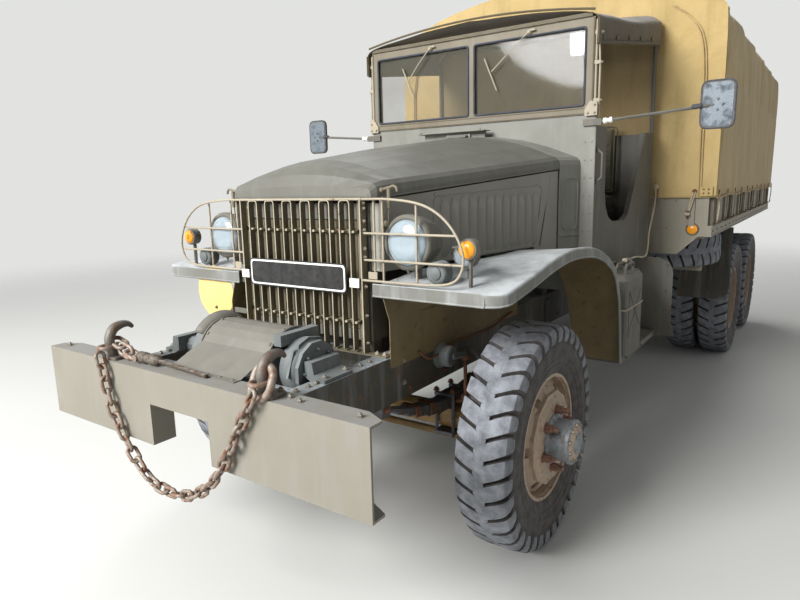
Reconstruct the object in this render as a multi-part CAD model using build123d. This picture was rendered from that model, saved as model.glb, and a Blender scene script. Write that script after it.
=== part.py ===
"""Long-wheelbase six-wheel-drive military cargo truck with an open cab, a canvas roof,
a front winch and a steel cargo bed under a canvas cover.

All lengths are millimetres. +X is the truck's left, the front points along -Y, +Z is up and
the floor is at Z = 0. Every place along Y is measured from the front axle; the finished
solids are moved by front_axle_y, so that the model's middle is at Y = 0.
"""
import os
from math import cos, degrees, pi, radians, sin, sqrt

from build123d import *

# Overall layout
front_axle_y = -2303.25
bogie_y = 4166.0
bogie_spread = 1118.0
front_track = 1530.0
rear_track = 1714.0
dual_spacing = 250.0
clear = 0.3
bar_sides = 8

# Tyres and rims, each as a ring of flats
tyre_radius = 465.0
tyre_width = 216.0
lug_height = 17.0
tread_half = 84.0
lug_cross = 12.0
tyre_sides = 18
drum_sides = 12
drum_bore = 60.0
drum_wall = 14.0
bead_radius = 254.0
bead_half = 74.0
bulge_radius = 352.0
flange_radius = 284.0
rim_half = 86.0
rim_wall = 8.0
disc_wall = 10.0
disc_face = 105.0
disc_face_radius = 150.0
hub_hole_radius = 85.0
hand_hole_count = 6
hand_hole_radius = 24.0

# Frame rails
rail_outer = 428.0
rail_depth = 178.0
rail_top = 860.0
rail_flange = 70.0
rail_wall = 7.0
rail_front = -985.0
rail_rear = 5640.0
cross_members = (-940.0, -420.0, 1340.0, 1540.0, 2500.0, 3330.0, 4166.0, 5000.0, 5610.0)
cross_depth = 150.0
cross_width = 60.0

# Front bumper
bumper_front = -1119.0
bumper_half = 805.0
bumper_bottom = 614.0
bumper_top = 887.0
bumper_flange = 90.0
bumper_wall = 8.0
bumper_chamfer = 70.0
notch_half = 155.0
notch_top = 765.0

# Winch
winch_y = -790.0
winch_z = 880.0
drum_radius = 62.0
drum_half = 150.0
winch_flange_radius = 104.0
winch_flange_wall = 16.0
rope_radius = 8.0
winch_x = 45.0
rope_bands = 5
clutch_pitch = 27.0
winch_sides = 12
winch_cover_flats = 9
rope_front = -1072.0
socket_radius = 21.0
gear_case_width = 92.0
gear_case_radius = 100.0
winch_cover_radius = 132.0
cover_front_angle = 150.0
cover_rear_angle = 12.0

# Tow hooks and chain
hook_x = 400.0
hook_y = -1084.0
hook_wall = 30.0
hook_bar = 15.0
hook_base = 14.0
hook_height = 104.0
hook_reach = 62.0
hook_drop = 58.0
hook_bend = 22.0
chain_bar = 13.0
chain_link_length = 72.0
chain_link_width = 44.0
chain_y = -1142.5
chain_gap = 0.3
chain_route = ((-400.0, 905.0), (-345.0, 700.0), (-176.0, 505.0), (31.0, 488.0), (196.0, 589.0),
               (330.0, 790.0), (400.0, 905.0))
shackle_length = 96.0
shackle_width = 60.0
shackle_z = 935.0

# Brush guard and lamps
guard_y = -520.0
guard_half = 318.0
guard_bottom = rail_top
guard_top = 1440.0
guard_bars = 13
guard_ties = (980.0, 1140.0, 1322.0, 1432.0)
guard_bar_wall = 6.0
guard_bar_depth = 34.0
guard_tie_depth = 8.0
hoop_bar = 9.0
headlamp_x = 490.0
headlamp_z = 1285.0
headlamp_radius = 92.0
headlamp_front = -470.0
headlamp_depth = 165.0
marker_x = 618.0
marker_z = 1186.0
marker_radius = 37.0
marker_y = -482.0
signal_x = 734.0
signal_z = 1271.0
signal_radius = 34.0
signal_y = -470.0
lamp_sides = 12
blackout_x = 677.0
blackout_z = 1238.0
blackout_radius = 43.0
blackout_y = -395.0

# Radiator
radiator_front = -478.0
radiator_depth = 90.0
radiator_half = 330.0
radiator_bottom = 905.0
radiator_top = 1425.0

# Hood and cowl
sheet = 3.0
crown_steps = (0.75, 0.5, 0.25)
hood_front = -500.0
hood_rear = 763.0
seam_front_x = 384.0
seam_slope = 0.1537
seam_front_z = 1441.0
seam_rise = 0.0823
hood_rows = (
    # along y, crown, share of the full shoulder, how far the sides draw in, lift over the seam
    (-512.0, 1456.0, 0.1, 44.0, 6.0), (-508.0, 1492.0, 0.5, 20.0, 6.0), (-490.0, 1535.0, 0.8, 7.0, 6.0),
    (-450.0, 1571.0, 1.0, 0.0, 0.0), (-380.0, 1594.0, 1.0, 0.0, 0.0), (90.0, 1661.0, 1.0, 0.0, 0.0),
    (763.0, 1733.0, 1.0, 0.0, 0.0))
hood_nose_rear = -400.0
hood_shoulder = 22.0
hood_corner = 62.0
hood_side_bottom = 1176.0
louvre_first = -124.0
louvre_last = 547.0
louvre_count = 12
louvre_bottom = 1200.0
louvre_top = 1432.0
louvre_depth = 9.0
louvre_width = 34.0
cowl_rear = 937.0
cowl_half = 700.0
scuttle_half = cowl_half - 68.0
wall_depth = 12.0
scuttle_drop = 400.0
vent_x = -88.0
vent_half = 215.0
scuttle_crown = 1742.0
cowl_bottom = 905.0
hood_gap = 6.0
hinge_half = 60.0
hinge_y = 768.0
hinge_z = 1741.0
hinge_eye = 7.0
hinge_pin = 3.5
hinge_lug = 12.0

# Windscreen
screen_y = 916.0
screen_half = cowl_half - 14.0
screen_bottom = 1814.0
screen_top = 2275.0
screen_depth = 26.0
screen_rail = 42.0
screen_bar = 34.0
screen_header_inset = 10.0
glass_wall = 6.0

# Cab
cab_rear = 1855.0
cab_rear_half = cowl_half + 65.0
cab_floor = 1000.0
cab_sill = 905.0
cab_wall = 30.0
cab_side_top = 1760.0
cab_floor_wall = 40.0
cab_mounts = (1010.0, 1780.0)
door_outline = ((1085.0, 1900.0), (1085.0, 1420.0), (1106.0, 1348.0), (1150.0, 1288.0), (1225.0, 1255.0),
                (1390.0, 1255.0), (1466.0, 1288.0), (1676.0, 1700.0), (1700.0, 1775.0), (1700.0, 1900.0))
seat_front = 1370.0
seat_rear = 1800.0
seat_half = 225.0
seat_x = 355.0
seat_base_top = 1290.0
cushion_height = 110.0
cushion_round = 26.0
back_height = 420.0
back_wall = 95.0

# Steering
king_x = 640.0
steer_arm = 150.0
tie_rod_z = 303.0
tie_rod_radius = 19.0
arm_z = 345.0
arm_half = 12.0
wheel_centre = (350.0, 1345.0, 1650.0)
column_angle = 40.0
column_radius = 24.0
column_length = 1060.0
column_gap = 8.0
steering_wheel_radius = 222.0
steering_rim = 13.0
steering_sides = 20
boss_radius = 26.0

# Canvas roof
roof_front = 896.0
roof_rear = 1867.3
roof_front_top = 2365.0
roof_rear_top = 2462.0
roof_front_side = 2262.0
roof_rear_side = 2398.0
roof_drop = 118.0
roof_half = cab_rear_half + 17.0
roof_front_half = screen_half + 20.0
roof_corner = 70.0
roof_wall = 12.0
roof_tube = 12.0
roof_bow_inset = 2.0
curtain_low = 1700.0

# Fenders and running boards
fender_outer = cowl_half + 188.0
fender_lip = 44.0
fender_wall = 4.0
fender_corner = 14.0
fender_gap = 5.0
apron_bend = 1000.0
fender_inner = 330.0
fender_rows = (
    # along y, top at the outer edge, lean in degrees, how far the inner edge drops, plan corner
    (-515.0, 1131.0, 8.0, 0.0, 70.0), (-507.0, 1132.0, 8.0, 0.0, 36.0), (-488.0, 1135.0, 8.0, 0.0, 12.0),
    (-450.0, 1140.6, 8.0, 0.0, 0.0), (-300.0, 1163.0, 9.0, 0.0, 0.0), (-90.0, 1200.0, 8.0, 46.0, 0.0),
    (90.0, 1218.0, 2.0, 74.0, 0.0), (270.0, 1214.0, -4.0, 70.0, 0.0), (440.0, 1192.0, -12.0, 32.0, 0.0),
    (610.0, 1140.0, -24.0, 2.0, 0.0), (735.0, 1066.0, -40.0, 0.0, 0.0), (822.0, 940.0, -64.0, 0.0, 0.0),
    (868.0, 770.0, -78.0, 0.0, 0.0), (905.0, 557.0, -82.0, 0.0, 0.0))
fender_front_rows = 4
board_outer = cowl_half + 180.0
board_inner = cowl_half - 140.0
board_top = 573.0
board_wall = 30.0
board_front = 905.0
board_rear = 1640.0
guard_panel_top = 1020.0
guard_panel_half = cowl_half + 267.0
panel_inner = cowl_half + 52.0
board_hangers = (1010.0, 1540.0)
can_x = cowl_half + 106.0
can_gap = 32.0
can_body = 425.0
can_length = 345.0
can_height = 470.0
can_width = 160.0
can_round = 28.0
can_rib = 2.0
can_handle_pitch = 46.0
can_handle_bar = 8.0
can_cap_radius = 27.0

# Cargo bed
bed_half = 1116.0
bed_front = 1930.0
bed_rear = 5747.0
bed_rail_bottom = 1125.0
bed_rail_top = 1198.0
rail_step = 4.0
bed_floor_wall = 36.0
bed_side_top = 1600.0
bed_wall = 32.0
bed_front_top = 1760.0
rack_top = 2010.0
gate_wall = 30.0
gate_half = 1070.0
gate_hinges = (-900.0, -300.0, 300.0, 900.0)
gate_strap = 60.0
gate_axis_y = 5761.0
gate_axis_z = 1190.0
gate_eye = 9.0
gate_pin = 5.0
stake_wall = 24.0
stake_width = 50.0
slat_wall = 26.0
slat_height = 100.0
slat_rows = (1620.0, 1765.0, 1910.0)
sill_low = 1110.0
sill_width = 70.0
cross_sills = (2000.0, 2530.0, 3040.0, 3600.0, 4160.0, 4720.0, 5280.0, 5690.0)
bolsters = (2000.0, 3060.0, 3600.0, 4160.0, 4720.0, 5280.0, 5600.0)

# Bed cover
cover_wall = 12.0
cover_half = bed_half + clear + cover_wall
cover_bottom = 1364.0
cover_side_top = 2330.0
cover_corner = 300.0
cover_top = 2770.0
cover_sag = 44.0
cover_rear = 5760.0
bow_places = (1985.0, 2715.0, 3445.0, 4175.0, 4905.0, 5635.0)
bow_width = 45.0
bow_wall = 22.0

# Engine and drive line
engine_half = 230.0
engine_front = -300.0
engine_rear = 640.0
engine_bottom = 710.0
engine_top = 1360.0
gearbox_half = 150.0
gearbox_rear = 1080.0
gearbox_bottom = 700.0
gearbox_top = 895.0
transfer_front = 1320.0
transfer_rear = 1560.0
transfer_bottom = 545.0
transfer_top = 695.7
shaft_radius = 36.0
shaft_gap = 5.0
mount_places = (120.0,)
mount_low = 720.0
mount_high = 790.0

# Springs and axles
spring_x = 393.0
spring_width = 62.0
front_spring_half = 530.0
front_spring_eye_z = 668.0
front_spring_seat_z = 545.0
leaf_wall = 9.0
axle_tube_radius = 52.0
diff_radius = 158.0
front_diff_x = -235.0
bowl_half = 62.0
bowl_reach = 110.0
pinion_reach = 235.0
ball_radius = 79.6
ball_share = 0.97
axle_sides = 12
dome_steps = 4
king_radius = 20.0
king_reach = 80.0
boss_half = 30.0
knuckle_inner = 84.0
knuckle_outer = 114.0
knuckle_lip = 8.0
spindle_radius = 17.7
track_pin = 8.0

# Under the bed
tank_x = -700.0
tank_length = 900.0
tank_y = 2540.0
tank_half = 190.0
tank_bottom = 650.0
tank_top = 970.0
tank_round = 90.0
pipe_x = 200.0
pipe_z = 640.0
pipe_radius = 26.0
muffler_x = 505.0
muffler_z = 728.0
muffler_radius = 62.0
spare_x = 630.0
spare_y = 2530.0
spare_low = 892.0
shield_y = 3010.0
shield_outer = 1112.0
shield_inner = 742.0
shield_bottom = 550.0

# Bogie springs
bogie_spring_x = 492.0
bogie_end_z = 548.0
bogie_seat_z = 640.0
bogie_leaves = 8
torque_low_z = 392.0
torque_rod_radius = 19.0
torque_gap = 7.0

# Mirrors
mirror_x = cowl_half + 540.0
mirror_y = 1000.0
mirror_z = 1820.0
mirror_width = 146.0
mirror_height = 216.0
mirror_round = 34.0


def block(x0, x1, y0, y1, z0, z1):
    """A box between two corners."""
    return Pos((x0 + x1) / 2, (y0 + y1) / 2, (z0 + z1) / 2) * Box(x1 - x0, y1 - y0, z1 - z0)


def rod(start, end, radius, sides=bar_sides):
    """A straight bar of flats between two points, its corners on the radius."""
    a = Vector(*start)
    b = Vector(*end)
    section = Plane(origin=a, z_dir=b - a) * RegularPolygon(radius, sides)
    return extrude(section, amount=(b - a).length)


def pin(start, end, radius):
    """A round pin, eye or bore between two points."""
    a = Vector(*start)
    b = Vector(*end)
    return Solid.make_cylinder(radius, (b - a).length, Plane(origin=a, z_dir=b - a))


def side_profile(points, x0, x1):
    """An outline of (y, z) points, drawn out from x0 to x1."""
    return extrude(Plane.YZ.offset(x0) * make_face(Polyline(*points, close=True)), amount=x1 - x0)


def front_profile(points, y0, y1):
    """An outline of (x, z) points, drawn out from y0 to y1."""
    return extrude(Plane.XZ.offset(-y0) * make_face(Polyline(*points, close=True)), amount=y0 - y1)


def plan_profile(points, z0, z1):
    """An outline of (x, y) points, drawn out from z0 to z1."""
    return extrude(Plane.XY.offset(z0) * make_face(Polyline(*points, close=True)), amount=z1 - z0)


def join(parts):
    """One body from parts that touch or overlap."""
    return Part() + list(parts)


def mirrored(shape):
    """The same shape on the truck's other side."""
    return mirror(shape, about=Plane.YZ)


def pair(*shapes):
    """Each shape and its mirror image on the truck's other side."""
    return [side for shape in shapes for side in (shape, mirrored(shape))]


def bent_bar(points, radius, sides=bar_sides):
    """A bar of flats that follows straight runs with mitred corners."""
    path = Polyline(*points)
    section = Plane(origin=path @ 0, z_dir=path % 0) * RegularPolygon(radius, sides)
    return sweep(section, path=path, transition=Transition.RIGHT)


def cut_corners(points, size):
    """The points of a line with each inner corner cut across at that distance."""
    made = [Vector(*points[0])]
    for before, corner, after in zip(points, points[1:], points[2:]):
        middle = Vector(*corner)
        for end in (before, after):
            way = Vector(*end) - middle
            made.append(middle + way * (min(size, way.length * 0.45) / way.length))
    return made + [Vector(*points[-1])]


def rounded_outline(points, size):
    """A closed outline with each corner cut across twice at about that distance."""
    made = []
    count = len(points)
    for index in range(count):
        corner = Vector(*points[index])
        before = Vector(*points[index - 1]) - corner
        after = Vector(*points[(index + 1) % count]) - corner
        a = corner + before * (min(size, before.length * 0.49) / before.length)
        b = corner + after * (min(size, after.length * 0.49) / after.length)
        middle = (a + b) * 0.5 + (corner - (a + b) * 0.5) * 0.45
        made += [(p.X, p.Y) for p in (a, middle, b)]
    return made


def turned(profile, sides, phase=0.0):
    """A form of flats about the Z axis from a closed profile of (radius, z) points.

    The radii are measured to the middles of the flats.
    """
    step = 2 * pi / sides
    grow = 1 / cos(step / 2)
    faces = []
    for index in range(sides):
        a = phase + (index - 0.5) * step
        b = a + step
        for (r0, z0), (r1, z1) in zip(profile, profile[1:] + profile[:1]):
            corners = []
            for radius, angle, z in ((r0, a, z0), (r0, b, z0), (r1, b, z1), (r1, a, z1)):
                corner = (radius * grow * cos(angle), radius * grow * sin(angle), z)
                if radius == 0:
                    corner = (0.0, 0.0, z)
                if corner not in corners:
                    corners.append(corner)
            if len(corners) > 2:
                faces.append(Face(Wire.make_polygon([Vector(*c) for c in corners], close=True)))
    solid = Solid(Shell(faces))
    return solid if solid.volume > 0 else Solid(solid.wrapped.Reversed())


def turned_along_x(profile, y, z, sides):
    """A turned form about a line along X; the profile holds (radius, x) points."""
    return Pos(0, y, z) * Rot(0, 90, 0) * turned(profile, sides)


def seam_x(y):
    """Half width of the hood at its side seam."""
    return seam_front_x + seam_slope * (y - hood_front)


def seam_z(y):
    """Height of the hood's side seam."""
    return seam_front_z + seam_rise * (y - hood_front)


def flat_skin(rows):
    """A closed solid of flat triangles through rows of points, one row for each section."""
    faces = [Face(Wire.make_polygon(rows[0], close=True)), Face(Wire.make_polygon(rows[-1], close=True))]
    count = len(rows[0])
    for a, b in zip(rows, rows[1:]):
        for i in range(count):
            j = (i + 1) % count
            halves = ((a[i], a[j], b[j]), (a[i], b[j], b[i]))
            if a[j].X < a[i].X:
                halves = ((a[i], a[j], b[i]), (a[j], b[j], b[i]))
            for corners in halves:
                faces.append(Face(Wire.make_polygon(list(corners), close=True)))
    solid = Solid(Shell(faces))
    return solid if solid.volume > 0 else Solid(solid.wrapped.Reversed())


def arch_row(y, half, low, crown, corner, shoulder):
    """Points of a cross-section at y: upright sides, cut shoulders and a shallow crown."""
    rise = low + shoulder
    across = half - corner * 0.36
    up = rise + corner * 0.62
    side = [(half, low), (half, rise), (half - corner * 0.09, rise + corner * 0.36), (across, up)]
    for share in crown_steps:
        side.append((across * share, crown - (crown - up) * share ** 2))
    outline = side + [(0.0, crown)] + [(-x, z) for x, z in reversed(side)]
    return [Vector(x, y, z) for x, z in outline]


def arch_face(y, half, low, crown, corner, shoulder):
    """A cross-section at y as a flat face."""
    return Face(Wire.make_polygon(arch_row(y, half, low, crown, corner, shoulder), close=True))


# Wheels and tyres, built about Z with the outboard side up

def tyre():
    """Tyre with block lugs that alternate from side to side."""
    base = tyre_radius - lug_height
    half = tyre_width / 2
    profile = [
        (bead_radius, -bead_half), (bead_radius, bead_half), (bulge_radius, half),
        (base, tread_half), (base, -tread_half), (bulge_radius, -half),
    ]
    step = 2 * pi / tyre_sides
    root = base * 0.98
    spread = tan_half(step)
    outline = make_face(Polyline(
        (root, -root * spread), (tyre_radius, -tyre_radius * spread),
        (tyre_radius, tyre_radius * spread), (root, root * spread), close=True))
    left = Pos(0, 0, -lug_cross) * extrude(outline, amount=tread_half + lug_cross)
    right = Rot(180, 0, 0) * left
    lugs = [Rot(0, 0, degrees(index * step)) * (left if index % 2 == 0 else right)
            for index in range(tyre_sides)]
    return join([turned(profile, tyre_sides)] + lugs)


def tan_half(angle):
    """Half width over distance of a flat that spans the angle."""
    return sin(angle / 2) / cos(angle / 2)


def wheel_disc(face_z, holes=True):
    """Pressed rim and disc; face_z is the height of the hub face over the rim's middle."""
    inner = bead_radius - rim_wall
    lean = 1 if face_z > 0 else -1
    root = lean * 26.0
    outline = [
        (inner, -rim_half), (flange_radius, -rim_half), (bead_radius - clear, -bead_half),
        (bead_radius - clear, bead_half), (flange_radius, rim_half), (inner, rim_half),
    ]
    top = [(inner, root + disc_wall), (disc_face_radius + 4, face_z), (hub_hole_radius, face_z)]
    low = [(hub_hole_radius, face_z - disc_wall), (disc_face_radius, face_z - disc_wall), (inner, root)]
    disc = turned(outline + top + low, tyre_sides)
    if not holes:
        return disc
    middle = (inner + disc_face_radius) / 2
    cuts = []
    for index in range(hand_hole_count):
        hole = Pos(middle, 0, face_z / 2) * extrude(
            RegularPolygon(hand_hole_radius, 6), amount=abs(face_z), both=True)
        cuts.append(Rot(0, 0, 360 * (index + 0.5) / hand_hole_count) * hole)
    return disc - cuts


def front_hub():
    """Drive flange and hub barrel that stand out of the front disc."""
    face = disc_face
    rows = [
        (18.0, face - 70.0), (hub_hole_radius - 1, face - 70.0), (hub_hole_radius - 1, face + 22.0),
        (64.0, face + 30.0), (64.0, face + 62.0), (84.0, face + 66.0), (84.0, face + 84.0),
        (52.0, face + 100.0), (18.0, face + 100.0),
    ]
    return turned(rows, drum_sides)


def rear_hub():
    """Hub barrel in the dished pair of rear discs."""
    rows = [
        (18.0, -96.0), (hub_hole_radius - 1, -96.0), (hub_hole_radius - 1, 24.0), (66.0, 34.0),
        (66.0, 86.0), (80.0, 90.0), (80.0, 106.0), (18.0, 112.0),
    ]
    return turned(rows, drum_sides)


def brake_drum(low, high, radius):
    """Brake drum with its closed side outboard."""
    floor = high - drum_wall
    inner = radius - drum_wall
    rows = [(drum_bore, floor), (inner, floor), (inner, low), (radius, low), (radius, high), (drum_bore, high)]
    return turned(rows, drum_sides)


def on_left(shape, x, y, z):
    """Places a shape built about Z on the truck's left, its top outboard."""
    return Pos(x, y, z) * Rot(0, 90, 0) * shape


def on_right(shape, x, y, z):
    """Places a shape built about Z on the truck's right, its top outboard."""
    return Pos(x, y, z) * Rot(0, -90, 0) * shape


def front_wheel():
    """Front disc, hub and drum about Z, the rim's middle at zero."""
    disc = wheel_disc(disc_face)
    drum = brake_drum(-58.0, disc_face - disc_wall, 186.0)
    return join([disc, front_hub(), drum])


def rear_wheel():
    """Two discs back to back with one hub and drum; zero is midway between the tyres."""
    half = dual_spacing / 2
    outer = Pos(0, 0, half) * wheel_disc(-half + disc_wall)
    inner = Pos(0, 0, -half) * wheel_disc(half, holes=False)
    drum = brake_drum(-118.0, -disc_wall, 186.0)
    return join([outer, inner, rear_hub(), drum])


def rear_tyres():
    """Two tyres about Z."""
    half = dual_spacing / 2
    one = tyre()
    return [Pos(0, 0, half) * one, Pos(0, 0, -half) * Rot(180, 0, 0) * one]


# Frame, bumper and front equipment

def frame():
    """Two channel rails with cross members between them."""
    low = rail_top - rail_depth
    inner = rail_outer - rail_flange
    channel = [
        (rail_outer, low), (rail_outer, rail_top), (inner, rail_top),
        (inner, rail_top - rail_wall), (rail_outer - rail_wall, rail_top - rail_wall),
        (rail_outer - rail_wall, low + rail_wall), (inner, low + rail_wall), (inner, low),
    ]
    rail = front_profile(channel, rail_front, rail_rear)
    parts = pair(rail)
    middle = rail_top - rail_depth / 2
    reach = rail_outer - rail_wall
    for y in cross_members:
        web = block(-reach, reach, y - cross_width / 2, y + cross_width / 2,
                    middle + cross_depth / 2 - rail_wall, middle + cross_depth / 2)
        wall = block(-reach, reach, y - rail_wall / 2, y + rail_wall / 2,
                     middle - cross_depth / 2, middle + cross_depth / 2)
        parts += [web, wall]
    for y in mount_places:
        parts += pair(block(engine_half + clear, reach + 1, y - 50, y + 50, mount_low, mount_high))
    return [join(parts)]


def front_bumper():
    """Channel bumper with a notch under the winch, and its two brackets to the rails."""
    rear = bumper_front + bumper_flange
    cut = bumper_chamfer
    plate = block(-bumper_half, bumper_half, bumper_front, bumper_front + bumper_wall,
                  bumper_bottom, bumper_top)
    top = plan_profile([
        (-bumper_half, bumper_front), (bumper_half, bumper_front),
        (bumper_half, rear - cut / 2), (bumper_half - cut, rear),
        (-bumper_half + cut, rear), (-bumper_half, rear - cut / 2),
    ], bumper_top - bumper_wall, bumper_top)
    bottom = Pos(0, 0, bumper_bottom - bumper_top + bumper_wall) * top
    notch = front_profile([
        (-notch_half, bumper_bottom - 1), (notch_half, bumper_bottom - 1),
        (notch_half, notch_top), (-notch_half, notch_top)], bumper_front - 1, rear + 1)
    rim = front_profile([
        (-notch_half - bumper_wall, bumper_bottom), (notch_half + bumper_wall, bumper_bottom),
        (notch_half + bumper_wall, notch_top + bumper_wall),
        (-notch_half - bumper_wall, notch_top + bumper_wall)], bumper_front, rear)
    brackets = pair(block(rail_outer - rail_flange, rail_outer + rail_wall, bumper_front + bumper_wall,
                          rail_front, rail_top - rail_depth + 4, rail_top - 4))
    body = join([plate, top, bottom, rim]) - notch
    return [join([body] + brackets)]


def tow_hooks():
    """Two forged hooks bolted on the bumper's top edge."""
    x = hook_x
    y = hook_y
    base = bumper_top
    tip = y + hook_reach
    shank = block(x - hook_wall / 2, x + hook_wall / 2, bumper_front + 6, bumper_front + bumper_flange,
                  base, base + hook_base)
    line = [(x, y, base + hook_base / 2), (x, y, base + hook_height), (x, tip, base + hook_height),
            (x, tip, base + hook_height - hook_drop)]
    hook = bent_bar(cut_corners(line, hook_bend), hook_bar)
    return pair(join([shank, hook]))


def winch():
    """Drum with its wraps of wire rope, end frames, gear case and clutch housing."""
    x = winch_x
    y = winch_y
    z = winch_z
    low = x - drum_half - winch_flange_wall
    high = x + drum_half + winch_flange_wall
    reach = rail_outer - 6
    stop = rail_outer - rail_flange - 6
    wound = drum_radius + 2 * rope_radius
    rows = [(0, -stop), (34.0, -stop), (34.0, low - gear_case_width), (gear_case_radius, low - gear_case_width),
            (gear_case_radius, low), (winch_flange_radius, low), (winch_flange_radius, x - drum_half)]
    pitch = 2 * drum_half / rope_bands
    for band in range(rope_bands):
        start = x - drum_half + pitch * band
        rows += [(wound - rope_radius, start), (wound, start + pitch / 2)]
    rows += [(wound - rope_radius, x + drum_half), (winch_flange_radius, x + drum_half),
             (winch_flange_radius, high), (62.0, high), (62.0, high + 40)]
    for rib in range(3):
        start = high + 40 + clutch_pitch * rib
        rows += [(84.0, start), (84.0, start + 12), (96.0, start + 12), (96.0, start + clutch_pitch)]
    rows += [(34.0, high + 40 + 3 * clutch_pitch), (34.0, stop), (0, stop)]
    body = turned_along_x(rows, y, z, winch_sides)
    feet = []
    for side in (-1, 1):
        feet.append(front_profile([
            (side * (stop + 8), rail_top), (side * reach, rail_top), (side * reach, rail_top + 12),
            (side * (stop + 24), rail_top + 24), (side * (stop + 16), z + 44), (side * (stop - 16), z + 44),
            (side * (stop - 16), rail_top + 12)], y - 70, y + 70))
    worm = block(low - gear_case_width + 12, low - 12, y, y + 175, z - 50, z + 50)
    return [join([body, worm] + feet)]


def winch_cover():
    """Curved sheet over the drum, standing on the bumper's top edge in front."""
    outer = winch_cover_radius
    inner = outer - sheet
    edge = drum_half + winch_flange_wall + 9
    y = winch_y
    z = winch_z
    front = bumper_front + bumper_flange - 8
    foot = bumper_top + clear
    step = (cover_front_angle - cover_rear_angle) / winch_cover_flats
    angles = [radians(cover_rear_angle + step * k) for k in range(winch_cover_flats + 1)]
    outline = [(y + outer * cos(t), z + outer * sin(t)) for t in angles]
    outline += [(front, foot), (front + sheet, foot)]
    outline += [(y + inner * cos(t), z + inner * sin(t)) for t in reversed(angles)]
    hood_sheet = side_profile(outline, winch_x - edge, winch_x + edge)
    lip = block(winch_x - edge, winch_x + edge, front - 24, front + 2, foot, foot + sheet)
    return [join([hood_sheet, lip])]


def chain_link(length, width, bar):
    """One link about the origin: square bar bent to a long ring that lies along X."""
    return Box(length, width, bar) - Box(length - 2 * bar, width - 2 * bar, 2 * bar)


def winch_chain():
    """Chain that hangs before the bumper between two shackles, and the winch's taut wire rope."""
    route = Spline(*[Vector(x, chain_y, z) for x, z in chain_route])
    pitch = chain_link_length - 2 * chain_bar - chain_gap
    count = int(route.length / pitch) + 1
    start = (route.length - pitch * (count - 1)) / 2
    link = chain_link(chain_link_length, chain_link_width, chain_bar)
    made = []
    for index in range(count):
        along = start + pitch * index
        middle = route.position_at(along, position_mode=PositionMode.LENGTH)
        heading = route.tangent_at(along, position_mode=PositionMode.LENGTH)
        across = Vector(0, 1, 0) if index % 2 == 0 else heading.cross(Vector(0, 1, 0))
        made.append(Location(Plane(origin=middle, x_dir=heading, z_dir=across)) * link)
    shackle = chain_link(shackle_length, shackle_width, chain_bar + 1)
    rear = hook_y + 15 + chain_gap + chain_bar + 1
    made += pair(Pos(hook_x, rear - shackle_length / 2, shackle_z) * Rot(0, 0, 90) * shackle)
    low = bumper_top + rope_radius + clear
    high = bumper_top + socket_radius + clear
    rope = rod((winch_x + 60, rope_front, low), (-150.0, rope_front, high), rope_radius)
    socket = rod((-150.0, rope_front, high), (-260.0, rope_front, high), socket_radius)
    return made + [join([rope, socket])]


def brush_guard():
    """Upright bars on a foot plate before the radiator, with cross ties close behind them."""
    y0 = guard_y
    y1 = guard_y + guard_bar_depth
    pitch = 2 * guard_half / (guard_bars - 1)
    foot_top = guard_bottom + 6
    bars = []
    for index in range(guard_bars):
        x = -guard_half + pitch * index
        low = guard_ties[0] if 0 < index < guard_bars - 1 else foot_top + clear
        bars.append(block(x - guard_bar_wall / 2, x + guard_bar_wall / 2, y0, y1 - guard_tie_depth - clear,
                          min(low, foot_top + clear), guard_top))
    edge = guard_half + guard_bar_wall / 2
    ties = [block(-edge, edge, y1 - guard_tie_depth, y1, low, low + 8) for low in guard_ties]
    reach = rail_outer - 10
    foot = block(-reach, reach, y0, radiator_front, guard_bottom, foot_top)
    return bars + ties + [foot] + lamp_hoops()


def lamp_hoops():
    """Bar frames that guard the lamps on both sides of the brush guard."""
    y0 = guard_y
    y1 = guard_y + hoop_bar
    edge = guard_half + guard_bar_wall / 2 + clear
    line = [(edge, guard_top - 6), (560.0, 1424.0), (640.0, 1392.0), (704.0, 1336.0), (742.0, 1262.0),
            (738.0, 1200.0), (700.0, 1160.0), (610.0, 1146.0), (edge, 1146.0)]
    inside = [(edge, guard_top - 6 - hoop_bar), (557.0, 1424.0 - hoop_bar), (635.0, 1384.0), (697.0, 1330.0),
              (733.0, 1260.0), (729.0, 1205.0), (695.0, 1168.0), (609.0, 1146.0 + hoop_bar),
              (edge, 1146.0 + hoop_bar)]
    ring = front_profile(line + inside[::-1], y0, y1)
    ties = []
    for z, x1 in ((1316.0, 704.0), (1218.0, 728.0)):
        ties.append(block(edge, x1, y1 + clear, y1 + clear + hoop_bar, z, z + hoop_bar))
    for x, top in ((395.0, 1424.0), (545.0, 1418.0)):
        ties.append(block(x, x + hoop_bar, y1 + clear * 2 + hoop_bar, y1 + clear * 2 + 2 * hoop_bar, 1150.0, top))
    return pair(ring, *ties)


def fender_z(y):
    """Height of the fender's top near its front edge."""
    (y0, z0), (y1, z1) = (fender_rows[index][:2] for index in (0, fender_front_rows))
    return z0 + (z1 - z0) * (y - y0) / (y1 - y0)


def lamp_post(x, y, top, radius):
    """A stem that stands on the fender's top."""
    return rod((x, y, fender_z(y + radius) + clear), (x, y, top), radius, 6)


def lamp_turned(rows, x, y, z):
    """A lamp body turned about an axis along Y; rows of (radius, distance behind y)."""
    return Pos(x, y, z) * Rot(-90, 0, 0) * turned(list(rows), lamp_sides)


def headlamps():
    """Deep round lamp shells on posts from the fenders."""
    r = headlamp_radius
    d = headlamp_depth
    rows = ((0, -8), (r - 6, 2), (r + 6, 2), (r + 6, 20), (r, 24), (r, 58), (r * 0.82, d * 0.72),
            (r * 0.45, d * 0.95), (0, d))
    bowl = lamp_turned(rows, headlamp_x, headlamp_front, headlamp_z)
    return pair(join([bowl, lamp_post(headlamp_x, headlamp_front + 70, headlamp_z, 16.0)]))


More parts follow.
